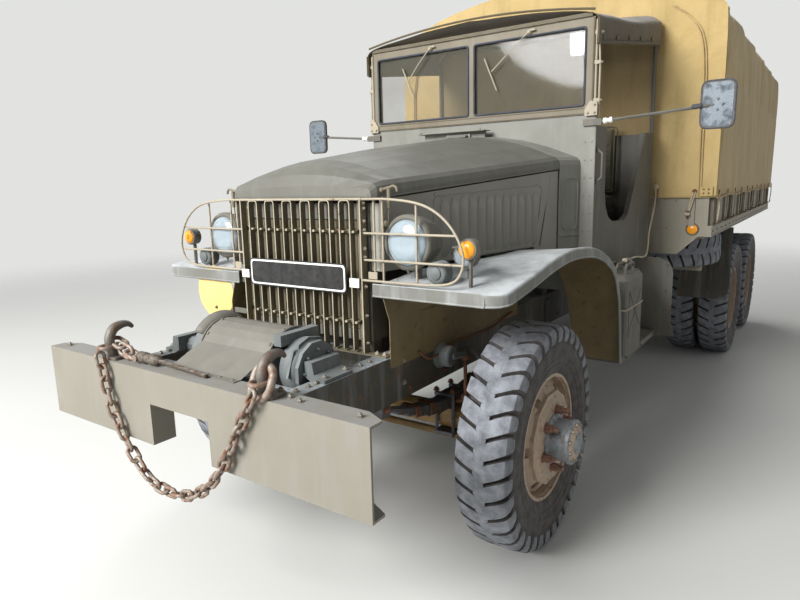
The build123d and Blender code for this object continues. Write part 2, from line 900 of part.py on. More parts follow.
def small_lamps():
    """Marker lamps and turn signals on both sides, and one hooded lamp on the left."""
    m = marker_radius
    marker = lamp_turned(((0, -8), (m * 0.7, -4), (m, 6), (m, 44), (0, 68)), marker_x, marker_y, marker_z)
    t = signal_radius
    signal = lamp_turned(((0, -12), (t, 4), (t, 34), (0, 34)), signal_x, signal_y, signal_z)
    b = blackout_radius
    hooded = lamp_turned(((0, 0), (b, 2), (b, 40), (b * 0.5, 74), (0, 78)), blackout_x, blackout_y, blackout_z)
    visor = block(blackout_x - 30, blackout_x + 30, blackout_y - 30, blackout_y + 6,
                  blackout_z + 30, blackout_z + 36)
    made = pair(join([marker, lamp_post(marker_x, marker_y + 30, marker_z, 9.0)]),
                join([signal, lamp_post(signal_x, signal_y + 20, signal_z, 8.0)]))
    made.append(join([hooded, visor, lamp_post(blackout_x, blackout_y + 40, blackout_z, 9.0)]))
    return made


def radiator():
    """Radiator shell round its core, on feet over the front cross member."""
    y0 = radiator_front
    y1 = y0 + radiator_depth
    shell = block(-radiator_half, radiator_half, y0, y1, radiator_bottom, radiator_top)
    well = block(-radiator_half + 40, radiator_half - 40, y0 - 1, y0 + 14,
                 radiator_bottom + 40, radiator_top - 60)
    foot = rail_top - rail_depth / 2 + cross_depth / 2
    feet = pair(block(radiator_half - 80, radiator_half - 20, y0 + 32, y1 - 10, foot, radiator_bottom + 1))
    return [join([shell] + feet) - well]


# Hood, cowl and windscreen

def hood_row(row, gap, shift):
    """Cross-section of the hood top on one row, drawn in by the gap and moved back by the shift."""
    y, crown, full, drawn, lift = row
    low = seam_z(y) + lift
    return arch_row(y + shift, seam_x(y) - drawn - gap, low - (1 if gap else 0), crown - gap,
                    hood_corner * full, hood_shoulder * full + (1 if gap else 0))


def hood():
    """Hood top: a crowned sheet whose sides turn down and whose nose curls to the grille."""
    outer = [hood_row(row, 0.0, 0.0) for row in hood_rows]
    inner = [hood_row(row, sheet, sheet if row[0] < hood_nose_rear else 0.0) for row in hood_rows[:-1]]
    inner.append(hood_row(hood_rows[-1], sheet, 1.0))
    shell = flat_skin(outer) - flat_skin(inner)
    crown = hood_rows[-1][1]
    strap = block(-hinge_half, hinge_half, hood_rear - 26, hinge_y, crown - sheet, hinge_z)
    eye = pin((-hinge_half, hinge_y, hinge_z), (hinge_half, hinge_y, hinge_z), hinge_eye)
    bore = pin((-hinge_half - 1, hinge_y, hinge_z), (hinge_half + 1, hinge_y, hinge_z), hinge_pin + 0.05)
    return [join([shell, strap, eye]) - bore]


def hood_sides():
    """Side panels with upright louvres, cut on a slant behind."""
    y0 = hood_front + 20
    y1 = hood_rear - 60
    low = hood_side_bottom
    outline = [(y0, low), (y1 - 120, low), (y1, seam_z(y1) - hood_gap), (y0, seam_z(y0) - hood_gap)]
    raw = side_profile(outline, 0, 900)
    wall = plan_profile([
        (seam_x(y0) - sheet - 4, y0), (seam_x(y0) - 4, y0), (seam_x(y1) - 4, y1), (seam_x(y1) - sheet - 4, y1)],
        low - 1, seam_z(y1) + 1)
    panel = raw & wall
    fins = []
    for index in range(louvre_count):
        y = louvre_first + (louvre_last - louvre_first) * index / (louvre_count - 1)
        x = seam_x(y) - 5
        top = min(louvre_top, seam_z(y) - 30)
        fins.append(plan_profile([
            (x, y - louvre_width / 2), (x + louvre_depth, y + louvre_width / 2 - 6),
            (x, y + louvre_width / 2)], louvre_bottom, top))
    flange = block(radiator_half + clear, seam_x(y0) - 5, y0 + 8, y0 + 8 + sheet, low, radiator_top)
    return pair(join([panel, flange] + fins))


def cowl():
    """Scuttle with its air lid, and the flat front wall of the cab under the windscreen."""
    y0 = hood_rear + hood_gap
    y1 = cowl_rear - wall_depth
    half = seam_x(hood_rear)
    low = seam_z(hood_rear)
    crown = hood_rows[-1][1]
    base = low - scuttle_drop
    rise = scuttle_drop + hood_shoulder
    outer = flat_skin([arch_row(y0, half, base, crown, hood_corner, rise),
                       arch_row(y1, scuttle_half, base, scuttle_crown, hood_corner, rise)])
    inner = flat_skin([arch_row(y0 - 1, half - sheet, base - 1, crown - sheet, hood_corner, rise + 1),
                       arch_row(y1 + 1, scuttle_half - sheet, base - 1, scuttle_crown - sheet, hood_corner,
                                rise + 1)])
    wall = front_profile([
        (-cowl_half, cowl_bottom), (cowl_half, cowl_bottom), (cowl_half, screen_bottom),
        (-cowl_half, screen_bottom)], y1, cowl_rear)
    hole = rod(column_point(-900), column_point(0), column_radius + clear)
    lid = block(vent_x - vent_half, vent_x + vent_half, y0 + 50, y0 + 128, crown + 34, crown + 38)
    neck = block(vent_x - vent_half + 20, vent_x + vent_half - 20, y0 + 104, y0 + 124, crown - 8, crown + 36)
    lug = block(hinge_half + clear, hinge_half + hinge_lug, hinge_y - hinge_pin + 0.5, y0 + 14,
                crown - 14, hinge_z + hinge_eye)
    hinge = pin((-hinge_half - 2, hinge_y, hinge_z), (hinge_half + 2, hinge_y, hinge_z), hinge_pin)
    return [join([outer - inner, wall - hole, lid, neck, hinge] + pair(lug))]


def windscreen():
    """Windscreen frame with its centre bar and header, standing on the cab's front wall."""
    y0 = screen_y
    y1 = screen_y + screen_depth
    outer = block(-screen_half, screen_half, y0, y1, screen_bottom, screen_top)
    panes = []
    for side in (-1, 1):
        a, b = sorted((side * screen_bar / 2, side * (screen_half - screen_rail)))
        panes.append(block(a, b, y0 - 1, y1 + 1, screen_bottom + screen_rail, screen_top - screen_rail))
    header_half = screen_half - screen_header_inset
    header = block(-header_half, header_half, y0 - 8, y1 + 14, screen_top, screen_top + 15)
    return [join([outer - panes, header])]


def windscreen_glass():
    """Two panes in the windscreen frame."""
    y0 = screen_y + (screen_depth - glass_wall) / 2
    made = []
    for side in (-1, 1):
        a, b = sorted((side * (screen_bar / 2 + clear), side * (screen_half - screen_rail - clear)))
        made.append(block(a, b, y0, y0 + glass_wall, screen_bottom + screen_rail + clear,
                          screen_top - screen_rail - clear))
    return made


# Cab

def cab():
    """Floor, toe board, sides with their door openings, instrument panel and back wall."""
    y0 = cowl_rear
    y1 = cab_rear
    plan = [(-cowl_half, y0), (cowl_half, y0), (cab_rear_half, y1), (-cab_rear_half, y1)]
    hollow = [(-cowl_half + cab_wall, y0 - 1), (cowl_half - cab_wall, y0 - 1),
              (cab_rear_half - cab_wall, y1 - cab_wall), (-cab_rear_half + cab_wall, y1 - cab_wall)]
    shell = plan_profile(plan, cab_sill, cab_side_top) - plan_profile(hollow, cab_floor, cab_side_top + 1)
    under = plan_profile(hollow, cab_sill - 1, cab_floor - cab_floor_wall)
    reach = cab_rear_half + 60
    door = side_profile(door_outline, -reach, reach)
    reach = cowl_half - cab_wall - 1
    toe = side_profile([(y0, cab_floor + 206), (y0 + 12, cab_floor + 206), (y0 + 175, cab_floor - 1),
                        (y0 + 155, cab_floor - 1)], -reach, reach)
    panel = side_profile([(y0, 1560.0), (y0 + 30, 1560.0), (y0 + 62, 1640.0), (y0 + 30, 1745.0), (y0, 1745.0)],
                         -reach, reach)
    hole = rod(column_point(-900), column_point(-60), column_radius + clear)
    mounts = []
    for y in cab_mounts:
        mounts += pair(block(rail_outer - 58, rail_outer - 8, y - 30, y + 30, rail_top + clear,
                             cab_floor - cab_floor_wall + 1))
    return [join([shell - under - door, toe - hole, panel - hole] + mounts + seat_bases())]


def column_point(distance):
    """A point on the steering column's line, that far from the steering wheel."""
    a = radians(column_angle)
    x, y, z = wheel_centre
    return (x, y + distance * cos(a), z + distance * sin(a))


def seat_bases():
    """Two plain seat bases on the cab's floor."""
    return [block(x - seat_half, x + seat_half, seat_front, seat_rear, cab_floor - 1, seat_base_top)
            for x in (-seat_x, seat_x)]


def seat_cushions():
    """Seat cushions and back cushions with their upright edges cut."""
    made = []
    r = cushion_round
    for x in (-seat_x, seat_x):
        low = seat_base_top + clear
        a = x - seat_half
        b = x + seat_half
        end = seat_rear - back_wall - 6
        made.append(side_profile(rounded_outline([(seat_front, low), (end, low), (end, low + cushion_height),
                                                  (seat_front, low + cushion_height)], r), a, b))
        made.append(front_profile(rounded_outline([(a, low), (b, low), (b, low + back_height),
                                                   (a, low + back_height)], r), seat_rear - back_wall, seat_rear))
    return made


def steering_column():
    """Column tube down to the steering gear on the left rail."""
    tube = rod(column_point(-column_length), column_point(-39.3), column_radius)
    gear = block(wheel_centre[0] - 60, wheel_centre[0] + 60, 470, 620, rail_top + clear, rail_top + 130)
    return [join([tube, gear])]


def steering_wheel():
    """Rim, three spokes and boss on the column's axis."""
    r = steering_wheel_radius - steering_rim
    s = steering_rim
    section = [(r - s * 0.5, -s * 0.8), (r + s * 0.5, -s * 0.8), (r + s, 0.0), (r + s * 0.5, s * 0.8),
               (r - s * 0.5, s * 0.8), (r - s, 0.0)]
    rim = turned(section, steering_sides)
    boss = pin((0, 0, -39), (0, 0, 11), boss_radius)
    spokes = []
    for index in range(3):
        spoke = block(boss_radius - 4, r - 2, -10, 10, -4, 4)
        spokes.append(Rot(0, 0, 120 * index + 90) * spoke)
    wheel = join([rim, boss] + spokes)
    tilt = 90 - column_angle
    return [Pos(*wheel_centre) * Rot(-tilt, 0, 0) * wheel]


def roof_row(y, half, side, top, gap):
    """Outline of the canvas roof at y, drawn in by the gap."""
    low = side - roof_drop - (2 if gap else 0)
    return arch_row(y, half - gap, low, top - gap, roof_corner, side - low - 6)


def cab_roof():
    """Canvas roof with its side valances and back curtain, open in front and below."""
    ends = ((roof_front, roof_front_half, roof_front_side, roof_front_top),
            (roof_rear, roof_half, roof_rear_side, roof_rear_top))
    outer = flat_skin([roof_row(*end, 0.0) for end in ends])
    (ya, *first), (yb, *last) = ends
    inner = flat_skin([roof_row(ya - 1, *first, roof_wall), roof_row(yb - roof_wall, *last, roof_wall)])
    curtain = block(-cab_rear_half, cab_rear_half, yb - roof_wall, yb, curtain_low, roof_rear_side - roof_drop + 1)
    return [join([outer - inner, curtain])]


def roof_frame():
    """Tube bow on the cab's rear corners that carries the canvas roof."""
    x = roof_half - roof_wall - clear - roof_tube - roof_bow_inset
    y = roof_rear - roof_wall - clear - roof_tube
    top = roof_rear_side + 8
    line = [(-x, y, cab_side_top), (-x, y, top), (x, y, top), (x, y, cab_side_top)]
    return [bent_bar(cut_corners(line, 60.0), roof_tube)]


# Fenders, running boards

def fender_edge(y):
    """Inner edge of the fender sheet, just outside the hood and the cowl."""
    if y < hood_rear:
        return seam_x(max(y, hood_front)) + fender_gap
    share = min((y - hood_rear) / (cowl_rear - wall_depth - hood_rear), 1.0)
    return seam_x(hood_rear) + (scuttle_half - seam_x(hood_rear)) * share + fender_gap


def fender_row(y, z, lean, drop, drawn):
    """Points of the fender sheet across its length at one row, with its turned-down outer lip."""
    t = fender_wall
    bend = fender_corner
    outer = fender_outer - drawn
    inner = fender_edge(y)
    drop *= (outer - bend - inner) / (outer - bend - fender_inner)
    outline = [(inner, -drop), (outer - bend, 0), (outer, -bend), (outer, -fender_lip),
               (outer - t, -fender_lip), (outer - t, -bend - 1), (outer - bend - 1, -t),
               (inner, -drop - t)]
    a = radians(lean)
    return [Vector(x, y - down * sin(a), z + down * cos(a)) for x, down in outline]


def under_fender(row, x):
    """Height of the fender sheet's underside at x on one row."""
    y, z, lean, drop, drawn = row
    share = (x - fender_inner) / (fender_outer - drawn - fender_corner - fender_inner)
    return z - (fender_wall + drop * (1 - share)) * cos(radians(lean))


def apron():
    """Splash apron from the left rail up to the fender's inner edge."""
    x0 = rail_outer + clear
    rows = []
    for row in fender_rows[fender_front_rows:fender_front_rows + 6]:
        edge = seam_x(row[0]) + fender_gap
        top = under_fender(row, edge) - clear
        outline = [(x0, rail_top - 40), (x0 + sheet, rail_top - 40), (x0 + sheet, apron_bend),
                   (edge + sheet, top), (edge, top), (x0, apron_bend + sheet)]
        rows.append([Vector(x, row[0], z) for x, z in outline])
    return flat_skin(rows)


def fenders():
    """Front fenders swept over the wheels to the running boards, and the splash aprons inside."""
    top = flat_skin([fender_row(*row) for row in fender_rows])
    shaft_hole = rod(column_point(-column_length), column_point(-column_length / 2), column_radius + column_gap)
    inner = apron()
    y, z, lean, drop, drawn = fender_rows[0]
    lip = block(fender_edge(y), fender_outer - drawn - 2, y, y + fender_wall, z - fender_lip, z - 2)
    return pair(join([top, lip])) + [inner - shaft_hole, mirrored(inner)]


def running_boards():
    """Steps below the door openings on brackets from the rails, with a guard panel behind each."""
    low = board_top - board_wall
    step = block(board_inner, board_outer, board_front + 6, board_rear, low, board_top)
    panel_shape = front_profile([
        (panel_inner, low), (guard_panel_half + 26, low), (guard_panel_half, low + 90),
        (guard_panel_half, guard_panel_top - 80), (guard_panel_half - 24, guard_panel_top - 24),
        (guard_panel_half - 80, guard_panel_top), (panel_inner, guard_panel_top)], board_rear, board_rear + 5)
    hangers = []
    for y in board_hangers:
        hangers.append(block(rail_outer + clear, board_inner + 10, y - 22, y + 22, low, low + 12))
        hangers.append(block(rail_outer + clear, rail_outer + clear + 10, y - 22, y + 22, low, rail_top - 30))
    return pair(join([step, panel_shape] + hangers))


def jerry_can():
    """Fuel can on the left running board, with its three handles and cap."""
    x0 = can_x - can_width / 2
    x1 = can_x + can_width / 2
    y0 = board_front + can_gap
    y1 = y0 + can_length
    z0 = board_top + clear
    top = z0 + can_body
    cut = can_round
    low = plan_profile(rounded_outline([(x0, y0), (x1, y0), (x1, y1), (x0, y1)], cut), z0, top - cut)
    lid = loft([Plane.XY.offset(z) * make_face(Polyline(*rounded_outline([
        (x0 + inset, y0 + inset), (x1 - inset, y0 + inset), (x1 - inset, y1 - inset), (x0 + inset, y1 - inset)],
        cut), close=True)) for z, inset in ((top - cut, 0.0), (top, cut * 0.6))], ruled=True)
    rib = block(x0 - can_rib, x1 + can_rib, y0 + 60, y1 - 60, z0 + 90, top - 90)
    handles = []
    for shift in (-can_handle_pitch, 0.0, can_handle_pitch):
        x = can_x + shift
        line = [(x, y0 + 90, top - 4), (x, y0 + 90, z0 + can_height), (x, y0 + 240, z0 + can_height),
                (x, y0 + 240, top - 4)]
        handles.append(bent_bar(cut_corners(line, 18.0), can_handle_bar, 6))
    neck = rod((can_x, y0 + 300, top - 20), (can_x, y0 + 322, top + 30), can_cap_radius)
    return [join([low, lid, rib, neck] + handles)]


# Drive line

def engine():
    """Engine as one plain block at its real place and size."""
    return [block(-engine_half, engine_half, engine_front, engine_rear, engine_bottom, engine_top)]


def driveline():
    """Gearbox, transfer case and propeller shafts between them and to the axles."""
    gearbox = block(-gearbox_half, gearbox_half, engine_rear + clear, gearbox_rear, gearbox_bottom, gearbox_top)
    case = block(front_diff_x - 70, gearbox_half - 20, transfer_front, transfer_rear, transfer_bottom,
                 transfer_top)
    nose = pinion_reach + shaft_gap
    z = tyre_radius + 6
    mid = bogie_y - bogie_spread / 2
    rear = bogie_y + bogie_spread / 2
    low = transfer_bottom + 60
    high = gearbox_bottom + 45
    shafts = [
        rod((0, gearbox_rear, high), (0, transfer_front, low + 35), shaft_radius),
        rod((front_diff_x, nose, z), (front_diff_x, transfer_front, low), shaft_radius),
        rod((0, transfer_rear, low), (0, mid - nose, z), shaft_radius),
        rod((0, mid + diff_radius + clear, z), (0, rear - pinion_reach - clear, z), shaft_radius),
    ]
    return [join([gearbox, case] + shafts)]


def axle_housing(reach, x, y, nose):
    """Axle tube out to the reach with its differential bowl at x, and the bowl's pinion nose."""
    z = tyre_radius
    tube = axle_tube_radius
    rows = [(0, -reach), (tube, -reach), (tube, x - bowl_reach), (diff_radius, x - bowl_half),
            (diff_radius, x + bowl_half), (tube, x + bowl_reach), (tube, reach), (0, reach)]
    side = 1 if nose > 0 else -1
    start = side * (diff_radius - 30)
    snout = [(0, start), (84.0, start), (52.0, nose), (0, nose)]
    taper = Pos(x, y, z) * Rot(-90, 0, 0) * turned(snout, bar_sides)
    return join([turned_along_x(rows, y, z, axle_sides), taper])


def front_axle():
    """Axle housing with its differential bowl, spring pads, ball ends and king pins."""
    z = tyre_radius
    r = ball_radius
    bore = [(0, -r), (r * 0.6, -r * 0.8), (r * 0.93, -r * 0.36), (r * 0.93, r * 0.36), (r * 0.6, r * 0.8), (0, r)]
    balls = pair(turned_along_x([(radius * ball_share, along + king_x) for radius, along in bore], 0, z,
                                axle_sides))
    pins = pair(pin((king_x, 0, z - king_reach), (king_x, 0, z + king_reach), king_radius))
    low = front_spring_seat_z - 6 * leaf_wall + 27 - clear
    pads = pair(block(spring_x - spring_width / 2, spring_x + spring_width / 2, -60, 60, z + 20, low))
    return [join([axle_housing(king_x - 60, front_diff_x, 0, pinion_reach)] + balls + pins + pads)]


def cup_dome(inner, outer, lip):
    """A dome of flats about Z between two radii, from the lip's angle up to its top."""
    angles = [radians(lip + (90 - lip) * k / dome_steps) for k in range(dome_steps + 1)]
    rows = [(outer * cos(t), outer * sin(t)) for t in angles[:-1]] + [(0, outer), (0, inner)]
    rows += [(inner * cos(t), inner * sin(t)) for t in reversed(angles[:-1])]
    return turned(rows, axle_sides)


def knuckle(side):
    """Steering knuckle with its king pin bosses, spindle and tie-rod arm, on one side."""
    z = tyre_radius
    cup = on_left(cup_dome(knuckle_inner, knuckle_outer, knuckle_lip), king_x, 0, z)
    tip = front_track / 2 + disc_face - 40
    spindle = pin((king_x + knuckle_inner + 6, 0, z), (tip, 0, z), spindle_radius)
    top = z + king_reach + clear
    low = z - king_reach - clear
    bosses = [rod((king_x, 0, top), (king_x, 0, z + knuckle_outer + 4), boss_half),
              rod((king_x, 0, low), (king_x, 0, arm_z + arm_half - 1), boss_half)]
    root = block(king_x - 15, king_x + 60, -30, 30, arm_z - arm_half, arm_z + arm_half)
    post = block(king_x + 22, king_x + 60, -30, 30, arm_z - arm_half, z - 85)
    arm = block(king_x - 15, king_x + 15, 0, steer_arm + 26, arm_z - arm_half, arm_z + arm_half)
    bore = pin((king_x, steer_arm, arm_z - 40), (king_x, steer_arm, arm_z + 40), track_pin + clear)
    body = join([cup, spindle, post, root, arm] + bosses) - bore
    return [body if side > 0 else mirrored(body)]


def tie_rod():
    """Track rod between the knuckle arms, with its end pins."""
    z = tie_rod_z
    bar = rod((-king_x, steer_arm, z), (king_x, steer_arm, z), tie_rod_radius)
    ends = pair(rod((king_x, steer_arm, z - 20), (king_x, steer_arm, arm_z - arm_half - clear), 24.0),
                pin((king_x, steer_arm, z), (king_x, steer_arm, arm_z + arm_half + 10), track_pin))
    return [join([bar] + ends)]


def leaf_stack(half, end_z, seat_z, count, x):
    """A stack of curved leaves over x, centred on y = 0, drawn as one stepped outline.

    The longest leaf's ends lie at end_z and its middle at seat_z, above or below them.
    """
    rise = abs(end_z - seat_z)
    bow = 1 if end_z > seat_z else -1
    radius = (half * half + rise * rise) / (2 * rise)
    centre = seat_z + bow * radius

    def on_arc(r, y):
        return (y, centre - bow * sqrt(r * r - y * y))

    outline = [on_arc(radius, half * share) for share in (-1.0, -0.6, -0.2, 0.2, 0.6, 1.0)]
    steps = []
    for index in range(count):
        reach = half * (1 - index / (count + 1.5))
        steps += [on_arc(radius + index * leaf_wall, reach), on_arc(radius + (index + 1) * leaf_wall, reach)]
    outline += steps[1:] + [(-y, z) for y, z in reversed(steps[1:])]
    return side_profile(outline, x - spring_width / 2, x + spring_width / 2)


def front_springs():
    """Leaf springs between the rails and the front axle, with hangers and U-bolts."""
    x = spring_x
    seat = front_spring_seat_z + 27
    leaves = leaf_stack(front_spring_half, front_spring_eye_z, seat, 6, x)
    rail_low = rail_top - rail_depth - clear
    parts = [leaves]
    for y in (-front_spring_half, front_spring_half):
        parts.append(block(x - 28, x + 28, y - 26, y + 26, front_spring_eye_z - 30, rail_low))
    top = seat + 10
    low = tyre_radius - axle_tube_radius - clear
    parts.append(block(x - 34, x + 34, -72, 72, seat - 2, top))
    for y in (-62.0, 62.0):
        for side in (-1, 1):
            parts.append(rod((x + side * 41, y, low - 22), (x + side * 41, y, top + 14), 8.0, 4))
        parts.append(block(x - 46, x + 46, y - 11, y + 11, top - 4, top + 6))
    parts.append(block(x - 46, x + 46, -74, 74, low - 14, low))
    return pair(join(parts))


def rear_axles():
    """Two axle housings with their differential bowls, spring pads and torque-rod lugs."""
    z = tyre_radius
    reach = rear_track / 2 - dual_spacing / 2 - 20
    made = []
    for side in (-1, 1):
        y = bogie_y + side * bogie_spread / 2
        stubs = pair(pin((reach - 1, y, z), (rear_track / 2 + 60, y, z), spindle_radius))
        x = bogie_spring_x
        pads = pair(block(x - 40, x + 40, y - 55, y + 55, z + 20, bogie_end_z - clear),
                    block(x - 24, x + 24, y - 26, y + 26, torque_low_z - 26, z - 20))
        made.append(join([axle_housing(reach, 0, y, -pinion_reach)] + stubs + pads))
    return made


def rear_springs():
    """Inverted leaf springs on the bogie's trunnion brackets, with the torque rods."""
    x = bogie_spring_x
    leaves = Pos(0, bogie_y, 0) * leaf_stack(bogie_spread / 2, bogie_end_z, bogie_seat_z, bogie_leaves, x)
    top = bogie_seat_z + bogie_leaves * leaf_wall
    seat = block(x - 40, x + 40, bogie_y - 90, bogie_y + 90, bogie_seat_z - 60, bogie_seat_z + 2)
    cap = block(x - 40, x + 40, bogie_y - 80, bogie_y + 80, top - 2, top + 12)
    inner = rail_outer + clear
    plate = side_profile([
        (bogie_y - 170, rail_top - 20), (bogie_y + 170, rail_top - 20), (bogie_y + 110, 560.0),
        (bogie_y - 110, 560.0)], inner, inner + 18)
    trunnion = rod((inner, bogie_y, bogie_seat_z - 20), (x + 34, bogie_y, bogie_seat_z - 20), 46.0)
    rods = []
    for side in (-1, 1):
        for bolt in (-30.0, 30.0):
            rods.append(rod((x + side * 44, bogie_y + bolt, bogie_seat_z - 70),
                            (x + side * 44, bogie_y + bolt, top + 26), 8.0, 4))
        end = bogie_y + side * (bogie_spread / 2 - 26 - torque_gap)
        rods.append(rod((x, bogie_y + side * 40, bogie_seat_z - 78), (x, end, torque_low_z), torque_rod_radius))
    hanger = block(x - 26, x + 26, bogie_y - 60, bogie_y + 60, bogie_seat_z - 100, bogie_seat_z - 50)
    cross = block(x - 50, x + 50, bogie_y - 38, bogie_y + 38, top + 8, top + 20)
    return pair(join([leaves, seat, cap, plate, trunnion, hanger, cross] + rods))


# Under the bed

def fuel_tank():
    """Fuel tank on the right with rounded edges, straps and brackets to the rail."""
    y0 = tank_y - tank_length / 2
    low = tank_x - tank_half
    high = tank_x + tank_half
    corners = [(low, tank_bottom), (high, tank_bottom), (high, tank_top), (low, tank_top)]
    parts = [front_profile(rounded_outline(corners, tank_round), y0, y0 + tank_length)]
    for share in (0.2, 0.8):
        y = y0 + tank_length * share
        wide = [(low - sheet, tank_bottom - sheet), (high + sheet, tank_bottom - sheet),
                (high + sheet, tank_top + sheet), (low - sheet, tank_top + sheet)]
        parts.append(front_profile(rounded_outline(wide, tank_round), y - 22, y + 22))
        parts.append(block(high - 60, -rail_outer - clear, y - 22, y + 22, tank_top - 110, tank_top - 84))
    parts.append(rod((low + 60, y0 + 120, tank_top - 10), (low + 40, y0 + 120, tank_top + 60), 34.0))
    return [join(parts)]


def exhaust():
    """Pipe from the engine, muffler outside the right rail and tail pipe before the tank."""
    front = [(-pipe_x, 300.0, pipe_z + 20), (-pipe_x, 420.0, pipe_z), (-pipe_x, 1000.0, pipe_z),
             (-muffler_x, 1110.0, pipe_z), (-muffler_x, 1180.0, muffler_z)]
    rear = [(-muffler_x, 1640.0, muffler_z), (-muffler_x, 1800.0, muffler_z), (-600.0, 1900.0, pipe_z),
            (-960.0, 1960.0, pipe_z - 20)]
    parts = [rod((-muffler_x, 1165.0, muffler_z), (-muffler_x, 1650.0, muffler_z), muffler_radius),
             block(-pipe_x - 36, -pipe_x + 36, 286.0, 346.0, pipe_z, engine_bottom - clear),
             bent_bar(front, pipe_radius, 8), bent_bar(rear, pipe_radius, 8)]
    for y in (1240.0, 1580.0):
        parts.append(block(-muffler_x - 12, -rail_outer - clear, y - 15, y + 15, muffler_z + 40, muffler_z + 52))
    return [join(parts)]


def spare_place(shape):
    """The spare wheel lies flat, its disc's face down."""
    return Pos(spare_x, spare_y, spare_low + tyre_width / 2) * shape


def spare_carrier():
    """Two channels over the left rail that carry the spare wheel, and its clamp."""
    top = spare_low - clear
    arms = []
    for shift in (-190.0, 190.0):
        y = spare_y + shift
        arms.append(block(spare_x - 330, spare_x + 380, y - 30, y + 30, rail_top + clear, top))
    bar = block(spare_x - 40, spare_x + 40, spare_y - 220, spare_y + 220, rail_top + 2, top - 6)
    clamp = rod((spare_x, spare_y, rail_top + 4), (spare_x, spare_y, spare_low + tyre_width / 2 + disc_face + 2),
                13.0, 6)
    return [join(arms + [bar, clamp])]


def splash_shields():
    """Upright sheets before the rear wheels, hung from the bed's cross sill."""
    low = shield_bottom
    r = 90.0
    top = sill_low - clear
    plate = front_profile([
        (shield_inner, low), (shield_outer - r, low), (shield_outer - r * 0.3, low + r * 0.3),
        (shield_outer, low + r), (shield_outer, top), (shield_inner, top)], shield_y, shield_y + sheet)
    rib = block(977.0 - 14, 977.0 + 14, shield_y - 12, shield_y + 1, low + 60, sill_low - clear)
    return pair(join([plate, rib]))


# Cargo bed

def bed_sills():
    """Cross sills under the bed's floor and the bolsters between them and the rails."""
    parts = []
    top = bed_rail_top - bed_floor_wall + 1
    reach = bed_half - 52
    for y in cross_sills:
        parts.append(block(-reach, reach, y - sill_width / 2, y + sill_width / 2, sill_low, top))
    for y in bolsters:
        for side in (-1, 1):
            a, b = sorted((side * (rail_outer - 66), side * (rail_outer - 4)))
            parts.append(block(a, b, y - 60, y + 60, rail_top + clear, sill_low + 1))
    stringers = pair(block(reach - 40, reach, cross_sills[0], cross_sills[-1], sill_low + 20, top))
    beams = pair(block(rail_outer - 56, rail_outer - 12, bolsters[1] - 60, bed_rear - 30, sill_low - 70, sill_low + 1))
    return parts + beams + stringers


def cargo_bed():
    """Floor with side rails, pressed steel sides and front wall, and the tailgate's hinge lugs."""
    rear = bed_rear
    wall = bed_half - stake_wall - clear
    floor = block(-wall + 1, wall - 1, bed_front, rear, bed_rail_top - bed_floor_wall, bed_rail_top)
    rails = pair(block(bed_half - 50, bed_half, bed_front, rear, bed_rail_bottom, bed_rail_top - rail_step))
    sides = pair(block(wall - bed_wall, wall, bed_front, rear - gate_wall - 6, bed_rail_top - 6, bed_side_top))
    front = block(-wall, wall, bed_front, bed_front + bed_wall, bed_rail_bottom, bed_front_top)
    gussets = pair(front_profile([
        (bed_half - 72, bed_rail_bottom + 2), (bed_half - 190, bed_rail_bottom - 112), (rail_outer + 40,
        bed_rail_bottom - 112), (rail_outer + 40, bed_rail_bottom + 2)], bed_front, bed_front + 6))
    lugs = []
    for x in gate_hinges:
        for side in (-1, 1):
            a, b = sorted((x + side * (gate_strap / 2 + clear), x + side * (gate_strap / 2 + 12)))
            lugs.append(block(a, b, rear - 2, gate_axis_y + gate_eye, gate_axis_z - gate_eye,
                              gate_axis_z + gate_eye))
        lugs.append(pin((x - gate_strap / 2 - 4, gate_axis_y, gate_axis_z),
                        (x + gate_strap / 2 + 4, gate_axis_y, gate_axis_z), gate_pin))
    return [join([floor, front] + rails + sides + gussets + lugs + bed_sills())]


def bed_racks():
    """Stake posts and slatted racks along both sides of the bed, with folded benches."""
    first = bed_front + bed_wall + clear
    last = bed_rear - gate_wall - 8
    posts = [block(bed_half - stake_wall, bed_half, y - stake_width / 2, y + stake_width / 2,
                   bed_rail_top - rail_step + clear, rack_top) for y in bow_places]
    face = bed_half - stake_wall
    slats = [block(face - slat_wall, face + 1, first, last, low, low + slat_height) for low in slat_rows]
    return pair(join(posts + slats))


def cover_bows():
    """Bows on the rack posts that carry the cover."""
    made = []
    gap = cover_wall + clear
    for y in bow_places:
        low = rack_top
        outer = arch_face(y - bow_width / 2, cover_half - gap, low, cover_top - gap, cover_corner,
                          cover_side_top - low)
        inner = arch_face(y - bow_width / 2, cover_half - gap - bow_wall, low - 1, cover_top - gap - bow_wall,
                          cover_corner, cover_side_top - low + 1)
        made.append(extrude(outer, amount=-bow_width) - extrude(inner, amount=-bow_width))
    return made


def tailgate():
    """Steel tailgate with ribs and the straps and eyes of its lower hinges."""
    y1 = bed_rear
    y0 = y1 - gate_wall
    low = bed_rail_top + 7
    parts = [block(-gate_half, gate_half, y0, y1, low, bed_side_top)]
    wells = []
    for middle in (-0.66, 0.0, 0.66):
        x = gate_half * middle
        wells.append(block(x - gate_half * 0.27, x + gate_half * 0.27, y1 - 10, y1 + 1, low + 60,
                           bed_side_top - 60))
    plate = parts[0] - wells
    straps = []
    for x in gate_hinges:
        a = x - gate_strap / 2
        b = x + gate_strap / 2
        straps.append(block(a, b, y1 - 1, y1 + 8, low + 4, low + 50))
        straps.append(block(a, b, y1 + 3, gate_axis_y, gate_axis_z - 4, low + 50))
        straps.append(pin((a, gate_axis_y, gate_axis_z), (b, gate_axis_y, gate_axis_z), gate_eye))
    bores = [pin((x - gate_strap, gate_axis_y, gate_axis_z), (x + gate_strap, gate_axis_y, gate_axis_z),
                 gate_pin + 0.05) for x in gate_hinges]
    return [join([plate] + straps) - bores]


